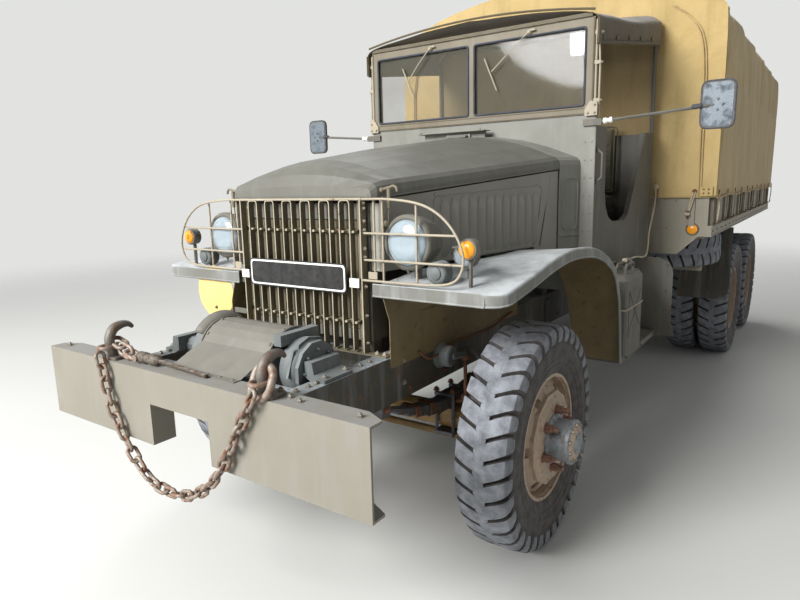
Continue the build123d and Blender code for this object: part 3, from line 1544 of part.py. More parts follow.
def cover_row(y, gap, low, slack):
    """Outline of the bed cover at y, drawn in by the gap and let down by its slack."""
    return arch_row(y, cover_half - gap, low, cover_top - gap - slack, cover_corner,
                    cover_side_top - slack - low)


def cargo_cover():
    """Canvas cover over the bows, slack between them, closed in front and open behind."""
    half = bow_width / 2
    rows = [(bed_front - 14, 0.0)]
    for before, after in zip(bow_places, bow_places[1:]):
        rows += [(before + half, 0.0), ((before + after) / 2, cover_sag), (after - half, 0.0)]
    rows += [(bow_places[-1] + half, 0.0), (cover_rear, cover_sag / 2)]
    outer = flat_skin([cover_row(y, 0.0, cover_bottom, slack) for y, slack in rows])
    rows[0] = (bed_front - 14 + cover_wall, 0.0)
    rows[-1] = (cover_rear + 1, cover_sag / 2)
    inner = flat_skin([cover_row(y, cover_wall, cover_bottom - 2, slack) for y, slack in rows])
    return [outer - inner]


# Fittings

def mirrors():
    """Mirrors on long arms from brackets on the cab's front wall."""
    x = mirror_x
    y = mirror_y
    half = mirror_width / 2
    rise = mirror_height / 2
    corners = [(x - half, mirror_z - rise), (x + half, mirror_z - rise), (x + half, mirror_z + rise),
               (x - half, mirror_z + rise)]
    plate = front_profile(rounded_outline(corners, mirror_round), y, y + 16)
    front = cowl_rear - wall_depth - clear
    bracket = block(cowl_half - 60, cowl_half + 34, front - 14, front, 1758.0, 1790.0)
    arm = rod((cowl_half + 20, front - 7, 1774.0), (x, y + 8, mirror_z), 8.0, 6)
    return pair(join([plate, bracket, arm]))


def rear_fittings():
    """Pintle hook, bumperettes on the rail ends and tail lamps under the bed."""
    y = rail_rear
    base = block(-80, 80, y + clear, y + 16, 660.0, 846.0)
    neck = rod((0, y + 10, 735.0), (0, y + 60, 735.0), 28.0)
    jaw = side_profile([(y + 50, 700.0), (y + 108, 700.0), (y + 108, 745.0), (y + 92, 745.0), (y + 92, 720.0),
                        (y + 72, 720.0), (y + 72, 772.0), (y + 50, 772.0)], -26, 26)
    made = [join([base, neck, jaw])]
    x0 = rail_outer - 60
    x1 = rail_outer + 90
    guard = side_profile([(y + clear, 610.0), (y + 86, 640.0), (y + 86, 780.0), (y + clear, 830.0),
                          (y + clear, 790.0), (y + 70, 760.0), (y + 70, 660.0), (y + clear, 650.0)], x0, x1)
    web = block(x0, x0 + 8, y + clear, y + 80, 640.0, 800.0)
    made += pair(join([guard, web]))
    x = 860.0
    lamp = rod((x, bed_rear - 90, 1062.0), (x, bed_rear - 22, 1062.0), 44.0)
    arm = block(x - 30, x + 30, bed_rear - 110, bed_rear - 70, 1062.0, sill_low - clear)
    made += pair(join([lamp, arm]))
    return made


def axle_solid(shape, x, y):
    """The wheel shape on the side that x points to."""
    place = on_left if x > 0 else on_right
    return place(shape, x, y, tyre_radius)


def build():
    """All nodes by name, each a list of solids."""
    front = front_wheel()
    front_t = tyre()
    rear = rear_wheel()
    rear_t = rear_tyres()
    nodes = {
        "frame": frame(),
        "front_bumper": front_bumper(),
        "tow_hooks": tow_hooks(),
        "winch": winch(),
        "winch_cover": winch_cover(),
        "brush_guard": brush_guard(),
        "lamps": headlamps() + small_lamps(),
        "winch_chain": winch_chain(),
        "radiator": radiator(),
        "hood": hood(),
        "hood_sides": hood_sides(),
        "cowl": cowl(),
        "windscreen": windscreen(),
        "windscreen_glass": windscreen_glass(),
        "cab": cab(),
        "seat_cushions": seat_cushions(),
        "steering_column": steering_column(),
        "steering_wheel": steering_wheel(),
        "cab_roof": cab_roof(),
        "roof_frame": roof_frame(),
        "fenders": fenders(),
        "running_boards": running_boards(),
        "jerry_can": jerry_can(),
        "engine": engine(),
        "driveline": driveline(),
        "front_axle": front_axle(),
        "front_springs": front_springs(),
        "knuckle_left": knuckle(1),
        "knuckle_right": knuckle(-1),
        "tie_rod": tie_rod(),
        "rear_axles": rear_axles(),
        "rear_springs": rear_springs(),
        "fuel_tank": fuel_tank(),
        "exhaust": exhaust(),
        "splash_shields": splash_shields(),
        "cargo_bed": cargo_bed(),
        "bed_racks": bed_racks(),
        "cover_bows": cover_bows(),
        "tailgate": tailgate(),
        "cargo_cover": cargo_cover(),
        "mirrors": mirrors(),
        "rear_fittings": rear_fittings(),
        "spare_disc": [spare_place(wheel_disc(disc_face))],
        "spare_tyre": [spare_place(front_t)],
        "spare_carrier": spare_carrier(),
    }
    for name, x in (("left", front_track / 2), ("right", -front_track / 2)):
        nodes[f"front_{name}_disc"] = [axle_solid(front, x, 0)]
        nodes[f"front_{name}_tyre"] = [axle_solid(front_t, x, 0)]
    for row, y in (("mid", bogie_y - bogie_spread / 2), ("rear", bogie_y + bogie_spread / 2)):
        for name, x in (("left", rear_track / 2), ("right", -rear_track / 2)):
            nodes[f"{row}_{name}_discs"] = [axle_solid(rear, x, y)]
            nodes[f"{row}_{name}_tyres"] = [axle_solid(one, x, y) for one in rear_t]
    return nodes


def save(name, shapes):
    """Writes one node, moved to the model's own origin."""
    solids = [solid for shape in shapes for solid in shape.solids()]
    body = Pos(0, front_axle_y, 0) * Compound(solids)
    export_step(body, os.path.join("parts", name + ".step"))


os.makedirs("parts", exist_ok=True)
for node_name, node_shapes in build().items():
    save(node_name, node_shapes)
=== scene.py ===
"""Looks of a six-wheel military cargo truck: canvas, tyres, chain, lamps, glass, fittings
and weathered paint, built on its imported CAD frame.

Places are written in millimetres from the front axle: +X is the truck's left, the front
points along -Y, and the floor is at Z = 0.
"""

import math

import bmesh
import bpy
from bpy.props import FloatProperty, FloatVectorProperty, IntProperty, PointerProperty
from mathutils import Matrix, Vector, noise


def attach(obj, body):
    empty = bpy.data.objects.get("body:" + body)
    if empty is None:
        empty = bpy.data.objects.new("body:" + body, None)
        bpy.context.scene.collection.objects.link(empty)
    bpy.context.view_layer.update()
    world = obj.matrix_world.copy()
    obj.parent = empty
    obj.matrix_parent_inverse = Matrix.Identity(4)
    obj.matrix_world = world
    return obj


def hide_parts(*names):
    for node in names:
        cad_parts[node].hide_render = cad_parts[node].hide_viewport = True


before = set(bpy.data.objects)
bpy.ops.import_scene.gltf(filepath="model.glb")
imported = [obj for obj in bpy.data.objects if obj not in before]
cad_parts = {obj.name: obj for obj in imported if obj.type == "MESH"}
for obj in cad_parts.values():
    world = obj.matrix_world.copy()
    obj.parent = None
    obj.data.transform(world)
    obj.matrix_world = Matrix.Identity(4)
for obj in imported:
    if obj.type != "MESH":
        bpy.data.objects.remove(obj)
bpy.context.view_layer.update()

bl_info = {
    "name": "Military cargo truck looks",
    "version": (1, 0, 0),
    "blender": (4, 5, 0),
    "location": "3D View > Sidebar > Truck",
    "description": "Builds the canvas, tyres, fittings and finishes of a cargo truck",
    "category": "Object",
}

# the front axle along the frame's Y, the wheels' centres, and the axles behind the front one
AXLE_Y = -2303.25
WHEEL_X = 765.0
TWIN_X = (732.0, 982.0)
WHEEL_Z = 465.0
MID_AXLE = 3607.0
REAR_AXLE = 4725.0
HOOK_X = 400.0
SIDES = ((1, "left"), (-1, "right"))
UP = Vector((0, 0, 1))
AHEAD = Vector((0, -1, 0))


def at(x, y, z):
    """A place in metres in the frame, from millimetres measured from the front axle."""
    return Vector((x / 1000, (y + AXLE_Y) / 1000, z / 1000))


# Colours and materials

def linear(code, alpha=1.0):
    """An sRGB hex colour, or one that is linear already, as linear red, green, blue and alpha."""
    if not isinstance(code, str):
        return list(code) + [alpha]
    parts = [int(code[i:i + 2], 16) / 255 for i in (1, 3, 5)]
    return [c / 12.92 if c <= 0.04045 else ((c + 0.055) / 1.055) ** 2.4 for c in parts] + [alpha]


def per_mm(size):
    """Texture scale at which one feature measures this many millimetres."""
    return 1000.0 / size


def add_node(tree, kind, settings=None, inputs=None):
    """Adds a node, sets it up, and fills or links its inputs."""
    node = tree.nodes.new(kind)
    for name, value in (settings or {}).items():
        setattr(node, name, value)
    for socket, value in (inputs or {}).items():
        if isinstance(value, bpy.types.NodeSocket):
            tree.links.new(value, node.inputs[socket])
        else:
            node.inputs[socket].default_value = value
    return node


FINISHES = {}


def new_material(key, name, shader):
    """A material with its shader and output, kept in FINISHES; returns its tree and shader."""
    material = bpy.data.materials.new(name)
    material.use_nodes = True
    tree = material.node_tree
    tree.nodes.clear()
    surface = add_node(tree, "ShaderNodeBsdfPrincipled", inputs=shader)
    add_node(tree, "ShaderNodeOutputMaterial", inputs={"Surface": surface.outputs[0]})
    FINISHES[key] = material
    return tree, surface


def object_place(tree, stretch=(1, 1, 1)):
    """The piece's own coordinates in metres, stretched where a pattern runs one way."""
    place = add_node(tree, "ShaderNodeTexCoord").outputs["Object"]
    if stretch == (1, 1, 1):
        return place
    return add_node(tree, "ShaderNodeMapping", inputs={0: place, 3: stretch}).outputs[0]


def mottle(tree, size, detail=4.0, low=0.4, high=0.6, stretch=(1, 1, 1)):
    """Soft patches of the given size in millimetres, from 0 to 1."""
    cloud = add_node(tree, "ShaderNodeTexNoise", inputs={
        "Vector": object_place(tree, stretch), "Scale": per_mm(size), "Detail": detail,
        "Roughness": 0.6})
    return add_node(tree, "ShaderNodeMapRange", inputs={
        0: cloud.outputs[0], 1: low, 2: high}).outputs[0]


def blend_colour(tree, share, first, second):
    """Two colours mixed by a share from 0 to 1."""
    return add_node(tree, "ShaderNodeMix", {"data_type": "RGBA"}, {
        0: share, 6: first, 7: second}).outputs[2]


def times(tree, first, second):
    """The product of two numbers."""
    return add_node(tree, "ShaderNodeMath", {"operation": "MULTIPLY"}, {
        0: first, 1: second}).outputs[0]


def ripples(tree, axis, size, distortion):
    """Even ripples along an axis, of a size in millimetres for one radian."""
    return add_node(tree, "ShaderNodeTexWave", {"wave_type": "BANDS", "bands_direction": axis}, {
        "Vector": object_place(tree), "Scale": per_mm(size) / 20, "Distortion": distortion}).outputs[1]


def facing_up(tree, low=0.3, high=0.95):
    """How far the surface faces the sky: where dust settles, and on the fenders also where sky light is
    painted.
    """
    normal = add_node(tree, "ShaderNodeNewGeometry").outputs["Normal"]
    height = add_node(tree, "ShaderNodeSeparateXYZ", inputs={0: normal}).outputs[2]
    return add_node(tree, "ShaderNodeMapRange", inputs={0: height, 1: low, 2: high}).outputs[0]


def relief(tree, surface, height, depth, normal=None):
    """A bump of the given depth in millimetres."""
    inputs = {"Height": height, "Distance": depth / 1000, "Strength": 1.0}
    if normal is not None:
        inputs["Normal"] = normal
    bump = add_node(tree, "ShaderNodeBump", inputs=inputs)
    tree.links.new(bump.outputs[0], surface.inputs["Normal"])
    return bump.outputs[0]


def enamel(key, name, paint, faded, dust, rust="#6b4a33", rough=0.62, dusty=0.55, rusty=0.0, patch=260.0):
    """Matt drab enamel, sprayed on pressed steel: it chalks in soft patches, holds pale dust where it faces
    up, which on the fenders is partly painted sky light, streaks downwards and lets rust through at chips."""
    tree, surface = new_material(key, name, {"Roughness": rough, "IOR": 1.5})
    colour = blend_colour(tree, mottle(tree, patch, 6.0, 0.38, 0.66), linear(paint), linear(faded))
    streak = times(tree, mottle(tree, 60.0, 5.0, 0.5, 0.75, (1, 1, 0.12)), 0.35)
    colour = blend_colour(tree, streak, colour, linear(dust))
    # dust on upward faces; on the fenders its pale blue-grey is partly painted sky light
    dust_and_sky_light = times(tree, facing_up(tree), mottle(tree, 90.0, 6.0, 0.1, 0.62))
    colour = blend_colour(tree, times(tree, dust_and_sky_light, dusty), colour, linear(dust))
    if rusty:
        chips = times(tree, mottle(tree, 34.0, 9.0, 0.62 - rusty * 0.2, 0.68), 0.85)
        colour = blend_colour(tree, chips, colour, linear(rust))
    tree.links.new(colour, surface.inputs["Base Color"])
    grain = add_node(tree, "ShaderNodeTexNoise", inputs={
        "Vector": object_place(tree), "Scale": per_mm(5.0), "Detail": 3.0})
    first = relief(tree, surface, grain.outputs[0], 0.25)
    relief(tree, surface, mottle(tree, 240.0, 2.0, 0.3, 0.7), 1.6, first)


def bare_steel(key, name, steel, rust, rough=0.5, rusty=0.5, metallic=0.7, size=24.0):
    """Bare worked steel: grey where it rubs, brown and rough where it has rusted."""
    tree, surface = new_material(key, name, {"Metallic": metallic})
    patches = mottle(tree, size, 8.0, 0.62 - rusty * 0.3, 0.66)
    colour = blend_colour(tree, patches, linear(steel), linear(rust))
    tree.links.new(colour, surface.inputs["Base Color"])
    matt = add_node(tree, "ShaderNodeMapRange", inputs={0: patches, 3: rough, 4: 0.85}).outputs[0]
    tree.links.new(matt, surface.inputs["Roughness"])
    relief(tree, surface, mottle(tree, 5.0, 4.0, 0.3, 0.7), 0.5)


def cotton_duck(key, name, cloth, faded, stain, thread=6.0):
    """Plain-woven cotton duck: chalky and soft, with weather marks that run down it and a
    faint square relief, much coarser than its real 0.8 mm weave, which would not show."""
    tree, surface = new_material(key, name, {
        "Roughness": 0.9, "Sheen Weight": 0.25, "Sheen Roughness": 0.6, "IOR": 1.45})
    colour = blend_colour(tree, mottle(tree, 420.0, 5.0, 0.35, 0.68), linear(cloth), linear(faded))
    runs = times(tree, mottle(tree, 120.0, 6.0, 0.5, 0.78, (1, 1, 0.2)), 0.6)
    colour = blend_colour(tree, runs, colour, linear(stain))
    colour = blend_colour(tree, times(tree, mottle(tree, 9.0, 3.0, 0.35, 0.7), 0.16), colour, linear(stain))
    tree.links.new(colour, surface.inputs["Base Color"])
    weave = None
    for axis in ("X", "Y", "Z"):
        band = ripples(tree, axis, thread, 0.6)
        weave = band if weave is None else add_node(
            tree, "ShaderNodeMath", {"operation": "ADD"}, {0: weave, 1: band}).outputs[0]
    first = relief(tree, surface, weave, 0.25)
    relief(tree, surface, mottle(tree, 70.0, 4.0, 0.3, 0.7), 2.0, first)


def rubber(key, name, black, dust, dusty=0.65, rough=0.82):
    """Moulded natural rubber, dusty and without gloss. On the tyres the grey-blue on top of the lugs is
    partly dust and partly painted sky light, and the grooves are dark."""
    tree, surface = new_material(key, name, {"Roughness": rough, "IOR": 1.52})
    colour = blend_colour(tree, times(tree, mottle(tree, 46.0, 7.0, 0.3, 0.66), dusty),
                          linear(black), linear(dust))
    tree.links.new(colour, surface.inputs["Base Color"])
    relief(tree, surface, mottle(tree, 7.0, 5.0, 0.3, 0.7), 0.5)


def plain(key, name, colour, rough, metallic=0.0, speck=30.0, change=0.18, toward="#8a8578", depth=0.15):
    """One even finish with slight dirt."""
    tree, surface = new_material(key, name, {"Roughness": rough, "Metallic": metallic})
    mixed = blend_colour(tree, times(tree, mottle(tree, speck, 6.0, 0.4, 0.7), change),
                         linear(colour), linear(toward))
    tree.links.new(mixed, surface.inputs["Base Color"])
    relief(tree, surface, mottle(tree, 6.0, 3.0, 0.3, 0.7), depth)


def window_glass(key, name, tint, dirt):
    """Flat float glass: see-through, with a thin film of road dust that lies in patches."""
    tree, surface = new_material(key, name, {"Base Color": linear(tint), "Roughness": 0.06, "IOR": 1.5})
    film = mottle(tree, 420.0, 3.0, 0.3, 0.75)
    share = add_node(tree, "ShaderNodeMapRange", inputs={0: film, 3: dirt * 0.6, 4: dirt}).outputs[0]
    tree.links.new(share, surface.inputs["Alpha"])


def make_finishes():
    """All the truck's materials, by a short name."""
    paint = bpy.context.scene.truck_colours
    # paint, faded paint and dust; lustreless olive enamel, darkest on the hood and the cab
    enamel("hood", "hood_enamel_sprayed_steel", paint.hood, "#605f57", "#777770", dusty=0.6, rough=0.5)
    enamel("body", "cab_enamel_sprayed_steel", paint.cab, "#605e55", "#858378", rusty=0.03)
    # a paler copy of the cab enamel for the cowl, the cab's front, and its beads: painted light on the
    # front-facing sheet
    enamel("pale", "cab_front_enamel_painted_light", "#76756d", "#84837b", "#96958d")
    # the fenders' pale blue-grey on upward faces is partly dust and partly painted sky light
    enamel("fender", "fender_enamel_dust_and_sky_light", paint.fender, "#7b7b76", "#c6cacc", dusty=0.95)
    enamel("bumper", "bumper_enamel_brushed_plate", paint.bumper, "#827d71", "#8a8b8b", dusty=0.6)
    # the guard's bars take this enamel on their front faces, and the darker guard_side copy below on their
    # other faces
    enamel("guard", "guard_enamel_brushed_bar", paint.guard, "#a69d8a", "#b0a894", dusty=0.3, rusty=0.03)
    enamel("frame", "frame_enamel_rolled_channel", "#3d3a33", "#4a463c", "#9fa5a8", dusty=0.95, rusty=0.1)
    enamel("winch", "winch_enamel_cast_iron", "#635f57", "#6d6a61", "#85827a", dusty=0.5)
    enamel("gear_case", "gear_case_enamel_cast_iron", "#5a5f5e", "#6a6f6f", "#8d9191", dusty=0.6)
    enamel("axle", "axle_casting_dried_mud", "#765d36", "#8c6f40", "#977f54", dusty=0.5, rusty=0.25)
    enamel("wheel", "wheel_enamel_pressed_steel", paint.wheel, "#b3a18e", "#bcac9b", rust="#8a6248",
           dusty=0.3, rusty=0.4, patch=120.0)
    enamel("bed", "bed_enamel_pressed_steel", paint.bed, "#8c8777", "#9a968d", rusty=0.04)
    enamel("screen", "screen_enamel_rolled_section", "#6c6350", "#787060", "#8b8371", dusty=0.3)
    enamel("engine", "engine_enamel_oily_cast_iron", "#3b3d38", "#474943", "#5a584f", rusty=0.3)
    bare_steel("exhaust", "exhaust_tube_scaled_steel", "#5a4c42", "#6d4a33", 0.7, 0.8, 0.3)
    bare_steel("chain", "chain_forged_rusty_steel", "#8f857b", "#7b5237", 0.55, 0.62, 0.45, 30.0)
    bare_steel("hook", "hook_forged_worn_steel", "#6d6861", "#6f5443", 0.55, 0.45, 0.4, 40.0)
    bare_steel("rope_wire", "wire_rope_laid_steel", "#6a645c", "#5d4736", 0.6, 0.5, 0.5, 12.0)
    bare_steel("bolt", "bolt_zinc_dulled_steel", "#8e8a80", "#6d5a48", 0.5, 0.3, 0.5, 8.0)
    bare_steel("spring", "spring_leaf_rolled_steel", "#5a6066", "#5c4636", 0.6, 0.5, 0.3)
    cotton_duck("tan_duck", "cover_cotton_duck_woven", paint.bed_canvas, "#ccb27c", "#94804f")
    cotton_duck("olive_duck", "roof_cotton_duck_woven", paint.roof_canvas, "#605338", "#3f3624")
    # a much lighter copy of the roof canvas for the back curtain inside the cab: painted light
    cotton_duck("curtain", "curtain_cotton_duck_painted_light", "#9f8960", "#aa946a", "#6b5a3c")
    # a much lighter copy of the hood enamel for the hood's sides and louvres: painted light on the side
    # panels
    enamel("hood_side", "hood_side_enamel_painted_light", "#8d8a80", "#97948a", "#96948c", rough=0.55)
    cotton_duck("seat_duck", "seat_cotton_duck_woven", "#5c563f", "#6a644c", "#453f2e")
    cotton_duck("cotton_rope", "lacing_cotton_rope_laid", "#b3a58a", "#c2b59b", "#8c7c62", 3.0)
    # the lug tops take this pale grey-blue rubber, partly dust and partly painted sky light; their sides, the
    # grooves and the sidewalls take the dark rubber below
    rubber("tyre", "tyre_tread_rubber_dust_and_sky_light", paint.tyre, "#9c9fa6")
    rubber("tyre_side", "tyre_sidewall_rubber_moulded", "#2f2e2e", "#6f6863", 0.5)
    rubber("seal", "seal_sponge_rubber_extruded", "#2a2c30", "#5b5f68", 0.6, 0.7)
    rubber("hose", "hose_rubber_extruded", "#26241f", "#6a5a40", 0.5)
    plain("amber", "lens_amber_acrylic_moulded", "#f59d14", 0.25, change=0.05)
    plain("red_lens", "lens_red_acrylic_moulded", "#a01a14", 0.25, change=0.05)
    plain("reflector_shell", "reflector_silvered_steel_spun", "#cfd8dc", 0.22, 0.9, change=0.1)
    plain("chrome", "mirror_glass_silvered", "#c4c9cc", 0.04, 1.0, change=0.03, depth=0.0)
    plain("plate_black", "plate_enamel_black_pressed_aluminium", "#17171a", 0.35, change=0.1)
    plain("plate_white", "plate_enamel_white_pressed_aluminium", "#e6e6e0", 0.4, change=0.1)
    plain("disc_yellow", "disc_enamel_yellow_steel", "#e6c878", 0.55, change=0.25)
    plain("paper", "screen_disc_paper_printed", "#dfe9ee", 0.6, change=0.08)
    plain("copper", "switch_bakelite_moulded", "#3a2f28", 0.4)
    plain("wood", "rack_ash_planed_painted", "#5d584a", 0.75, speck=60.0, change=0.5, toward="#79705c")
    plain("dial", "dial_face_enamel_black", "#1d1d1c", 0.3)
    # pressed lamp glass: pale blue, with faint upright flutes
    tree, surface = new_material("lens", "headlamp_glass_pressed", {
        "Base Color": linear("#c3d0d8"), "Roughness": 0.12, "Transmission Weight": 0.55, "IOR": 1.3,
        "Coat Weight": 1.0, "Coat Roughness": 0.02})
    relief(tree, surface, ripples(tree, "X", 9.0, 0.0), 0.5)
    window_glass("glass", "screen_float_glass_flat", "#6f6c60", 0.36)
    rubber("screen_seal", "screen_seal_rubber_extruded", "#262a31", "#4a515c", 0.5, 0.6)
    bare_steel("galvanised", "mirror_back_galvanised_sheet", "#6a7279", "#596067", 0.45, 0.5, 0.3, 40.0)
    bare_steel("rust", "hook_bar_rusty_steel", "#6b4f3d", "#7a4a2c", 0.7, 0.7, 0.2, 14.0)
    bare_steel("nut", "wheel_nut_forged_rusty_steel", "#8a6a5c", "#7b4a36", 0.6, 0.6, 0.2, 14.0)
    bare_steel("barrel", "hub_barrel_turned_steel", "#8b9196", "#6a6864", 0.5, 0.4, 0.35, 40.0)
    enamel("apron", "apron_enamel_dusty_sheet", "#6d5f41", "#7c6c4a", "#8d7d5c", dusty=0.4, rusty=0.15)
    # a darker copy of the guard enamel: painted shade on the sides of the guard's bars, its side plates and
    # ties, and on the radiator slats behind them
    enamel("guard_side", "guard_side_enamel_painted_shade", "#6b6450", "#77705c", "#857e69",
           dusty=0.1, rusty=0.1)


# Making meshes in millimetres

def turns(count):
    """Angles at even steps round a full turn."""
    return [math.tau * i / count for i in range(count)]


def ring_of(centre, across, up, radius, sides):
    """Points of a circle about a centre, in the plane of two unit vectors."""
    return [centre + (across * math.cos(a) + up * math.sin(a)) * radius for a in turns(sides)]


def about_axle(centre, x, radius, angle):
    """A point at a radius and an angle about an axle along X."""
    return centre + Vector((x, radius * math.sin(angle), radius * math.cos(angle)))


def across_axis(axis):
    """Two unit vectors at right angles to an axis."""
    axis = axis.normalized()
    helper = Vector((0, 0, 1)) if abs(axis.z) < 0.9 else Vector((1, 0, 0))
    first = axis.cross(helper).normalized()
    return first, axis.cross(first).normalized()


def skin(bm, rows, closed=True, ends=True, index=0, wrap=False):
    """Faces between rows of points; rows that are rings close on themselves, and wrap also
    joins the last row to the first."""
    made = [[bm.verts.new(p) for p in row] for row in rows]
    count = len(made[0])
    steps = count if closed else count - 1
    for a, b in zip(made, made[1:] + made[:1] if wrap else made[1:]):
        for i in range(steps):
            j = (i + 1) % count
            face = bm.faces.new((a[i], a[j], b[j], b[i]))
            face.material_index = index if isinstance(index, int) else index[i]
    if ends:
        for row in (made[0][::-1], made[-1]):
            bm.faces.new(row).material_index = index if isinstance(index, int) else index[-1]


def turned(bm, centre, axis, rows, sides=32, index=0, ends=True):
    """A form turned about an axis; rows hold radius and distance along it."""
    centre = Vector(centre)
    axis = Vector(axis).normalized()
    first, second = across_axis(axis)
    skin(bm, [ring_of(centre + axis * along, first, second, max(radius, 0.05), sides)
              for radius, along in rows], index=index, ends=ends)


def pipe(bm, points, radius, sides=10, closed=False, index=0):
    """A round bar that follows points, with mitred bends; the radius may change from point to point."""
    points = [Vector(p) for p in points]
    count = len(points)
    rows = []
    first = None
    for i, p in enumerate(points):
        before = points[i - 1] if i or closed else None
        after = points[(i + 1) % count] if i + 1 < count or closed else None
        lead = (p - before).normalized() if before is not None else (after - p).normalized()
        trail = (after - p).normalized() if after is not None else lead
        heading = (lead + trail).normalized()
        if first is None:
            first = across_axis(heading)[0]
        first = (first - heading * first.dot(heading)).normalized()
        second = heading.cross(first)
        rows.append(ring_of(p, first, second, radius[i] if isinstance(radius, list) else radius, sides))
    skin(bm, rows, ends=not closed, index=index, wrap=closed)


def flat_bar(bm, line, half, y0, y1, index=0):
    """A flat bar on edge that follows points (x, z) and reaches from y0 to y1."""
    points = [Vector((x, 0, z)) for x, z in line]
    rows = []
    for i, p in enumerate(points):
        heading = (points[min(i + 1, len(points) - 1)] - points[max(i - 1, 0)]).normalized()
        out = Vector((heading.z, 0, -heading.x)) * half
        rows.append([p + out + Vector((0, y, 0)) if k in (0, 3) else p - out + Vector((0, y, 0))
                     for k, y in enumerate((y0, y0, y1, y1))])
    skin(bm, rows, index=index)


def sheet_block(bm, outline, low, high, axis="y", index=0):
    """A flat outline drawn out between two depths along X, Y or Z."""
    places = {"x": lambda u, v, d: (d, u, v), "y": lambda u, v, d: (u, d, v), "z": lambda u, v, d: (u, v, d)}
    rows = [[Vector(places[axis](u, v, depth)) for u, v in outline] for depth in (low, high)]
    skin(bm, rows, index=index)


def spread(first, last, count):
    """Evenly spaced places from the first to the last."""
    first, last = Vector(first), Vector(last)
    return [first.lerp(last, i / max(count - 1, 1)) for i in range(count)]


def box(bm, x0, x1, y0, y1, z0, z1, index=0):
    """A box between two corners."""
    rows = [[Vector((x, y, z)) for x, y in ((x0, y0), (x1, y0), (x1, y1), (x0, y1))] for z in (z0, z1)]
    skin(bm, rows, index=index)


def side_box(bm, s, near, far, *rest):
    """A box between two distances from the middle, on the left (s is 1) or right (s is -1)."""
    box(bm, *sorted((s * near, s * far)), *rest)


def on_side(s, *points):
    """Points of the truck's left side, or their mirror images where s is -1."""
    return [(s * x, y, z) for x, y, z in points]


def bolt(bm, place, axis, size=9.0, height=8.0, index=0):
    """A hexagon head with its washer and a short thread end."""
    place = Vector(place)
    axis = Vector(axis).normalized()
    first, second = across_axis(axis)
    washer = [ring_of(place + axis * a, first, second, size * 1.35, 16) for a in (-1.0, 1.5)]
    skin(bm, washer, index=index)
    rows = [(size, 1.5), (size, height - 1.5), (size * 0.86, height)]
    skin(bm, [ring_of(place + axis * a, first, second, r, 6) for r, a in rows], index=index)
    ends = [(size * 0.5, height - 0.5), (size * 0.5, height + 3), (size * 0.38, height + 4)]
    skin(bm, [ring_of(place + axis * a, first, second, r, 10) for r, a in ends], index=index)


def rivet(bm, place, axis, size=7.0, index=0):
    """A round rivet head."""
    turned(bm, place, axis, [(size, -0.5), (size * 0.92, size * 0.25), (size * 0.6, size * 0.48),
                             (size * 0.05, size * 0.56)], 12, index)


def round_box(points, radius, steps=5):
    """An outline with its corners rounded."""
    points = [Vector(p) for p in points]
    made = []
    for i, p in enumerate(points):
        before, after = points[i - 1], points[(i + 1) % len(points)]
        a, b = (before - p), (after - p)
        cut = min(radius, a.length * 0.49, b.length * 0.49)
        a, b = p + a.normalized() * cut, p + b.normalized() * cut
        for k in range(steps + 1):
            t = k / steps
            q = a.lerp(p, t).lerp(p.lerp(b, t), t)
            made.append((q.x, q.y))
    return made


def round_rectangle(u0, u1, v0, v1, radius):
    """An outline of a rectangle with its corners rounded."""
    return round_box([(u0, v0), (u1, v0), (u1, v1), (u0, v1)], radius)


def smooth_line(points, steps=8):
    """A smooth line through points, by Catmull-Rom."""
    points = [Vector(p) for p in points]
    padded = [points[0] * 2 - points[1]] + points + [points[-1] * 2 - points[-2]]
    made = []
    for a, b, c, d in zip(padded, padded[1:], padded[2:], padded[3:]):
        for k in range(steps):
            t = k / steps
            made.append(0.5 * ((2 * b) + (c - a) * t + (2 * a - 5 * b + 4 * c - d) * t * t
                               + (3 * b - a - 3 * c + d) * t * t * t))
    return made + [points[-1]]


def lengths_along(line):
    """Distance from a line's first point to each of its points."""
    lengths = [0.0]
    for a, b in zip(line, line[1:]):
        lengths.append(lengths[-1] + (b - a).length)
    return lengths


def even_points(half, steps):
    """Evenly spaced points over a half outline and its mirror image, and their whole length."""
    line = half + [Vector((-p.x, p.y)) for p in half[-2::-1]]
    lengths = lengths_along(line)
    made = []
    k = 1
    for i in range(steps + 1):
        want = lengths[-1] * i / steps
        while k < len(line) - 1 and lengths[k] < want:
            k += 1
        share = (want - lengths[k - 1]) / max(lengths[k] - lengths[k - 1], 1e-6)
        made.append(line[k - 1].lerp(line[k], share))
    return made, lengths[-1]


def thicken(piece, name, thickness, offset=-1.0):
    """Gives a sheet its thickness in millimetres, inwards or to both sides (offset 0)."""
    wall = piece.modifiers.new(name, "SOLIDIFY")
    wall.thickness = thickness / 1000
    wall.offset = offset


def make_piece(name, bm, finishes, bevel=0.0, sharp=35.0, replaces=(), place=None,
               body="chassis"):
    """Turns a mesh in millimetres into a piece that rides on a body. Edges flatter than
    sharp degrees are smooth, and sharper ones can get a bevel in millimetres."""
    bmesh.ops.recalc_face_normals(bm, faces=bm.faces)
    for edge in bm.edges:
        edge.smooth = not edge.is_manifold or edge.calc_face_angle(0.0) < math.radians(sharp)
    for face in bm.faces:
        face.smooth = True
    for vert in bm.verts:
        vert.co = at(*(place @ vert.co if place else vert.co))
    mesh = bpy.data.meshes.new(name)
    bm.to_mesh(mesh)
    bm.free()
    piece = bpy.data.objects.new(name, mesh)
    bpy.context.collection.objects.link(piece)
    for finish in ([finishes] if isinstance(finishes, str) else finishes):
        mesh.materials.append(FINISHES[finish])
    if bevel:
        edges = piece.modifiers.new("edges", "BEVEL")
        edges.width = bevel / 1000
        edges.segments = 2
        edges.limit_method = "ANGLE"
        edges.angle_limit = math.radians(sharp)
        edges.harden_normals = True
    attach(piece, body)
    if replaces:
        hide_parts(*replaces)
    return piece


# Stage

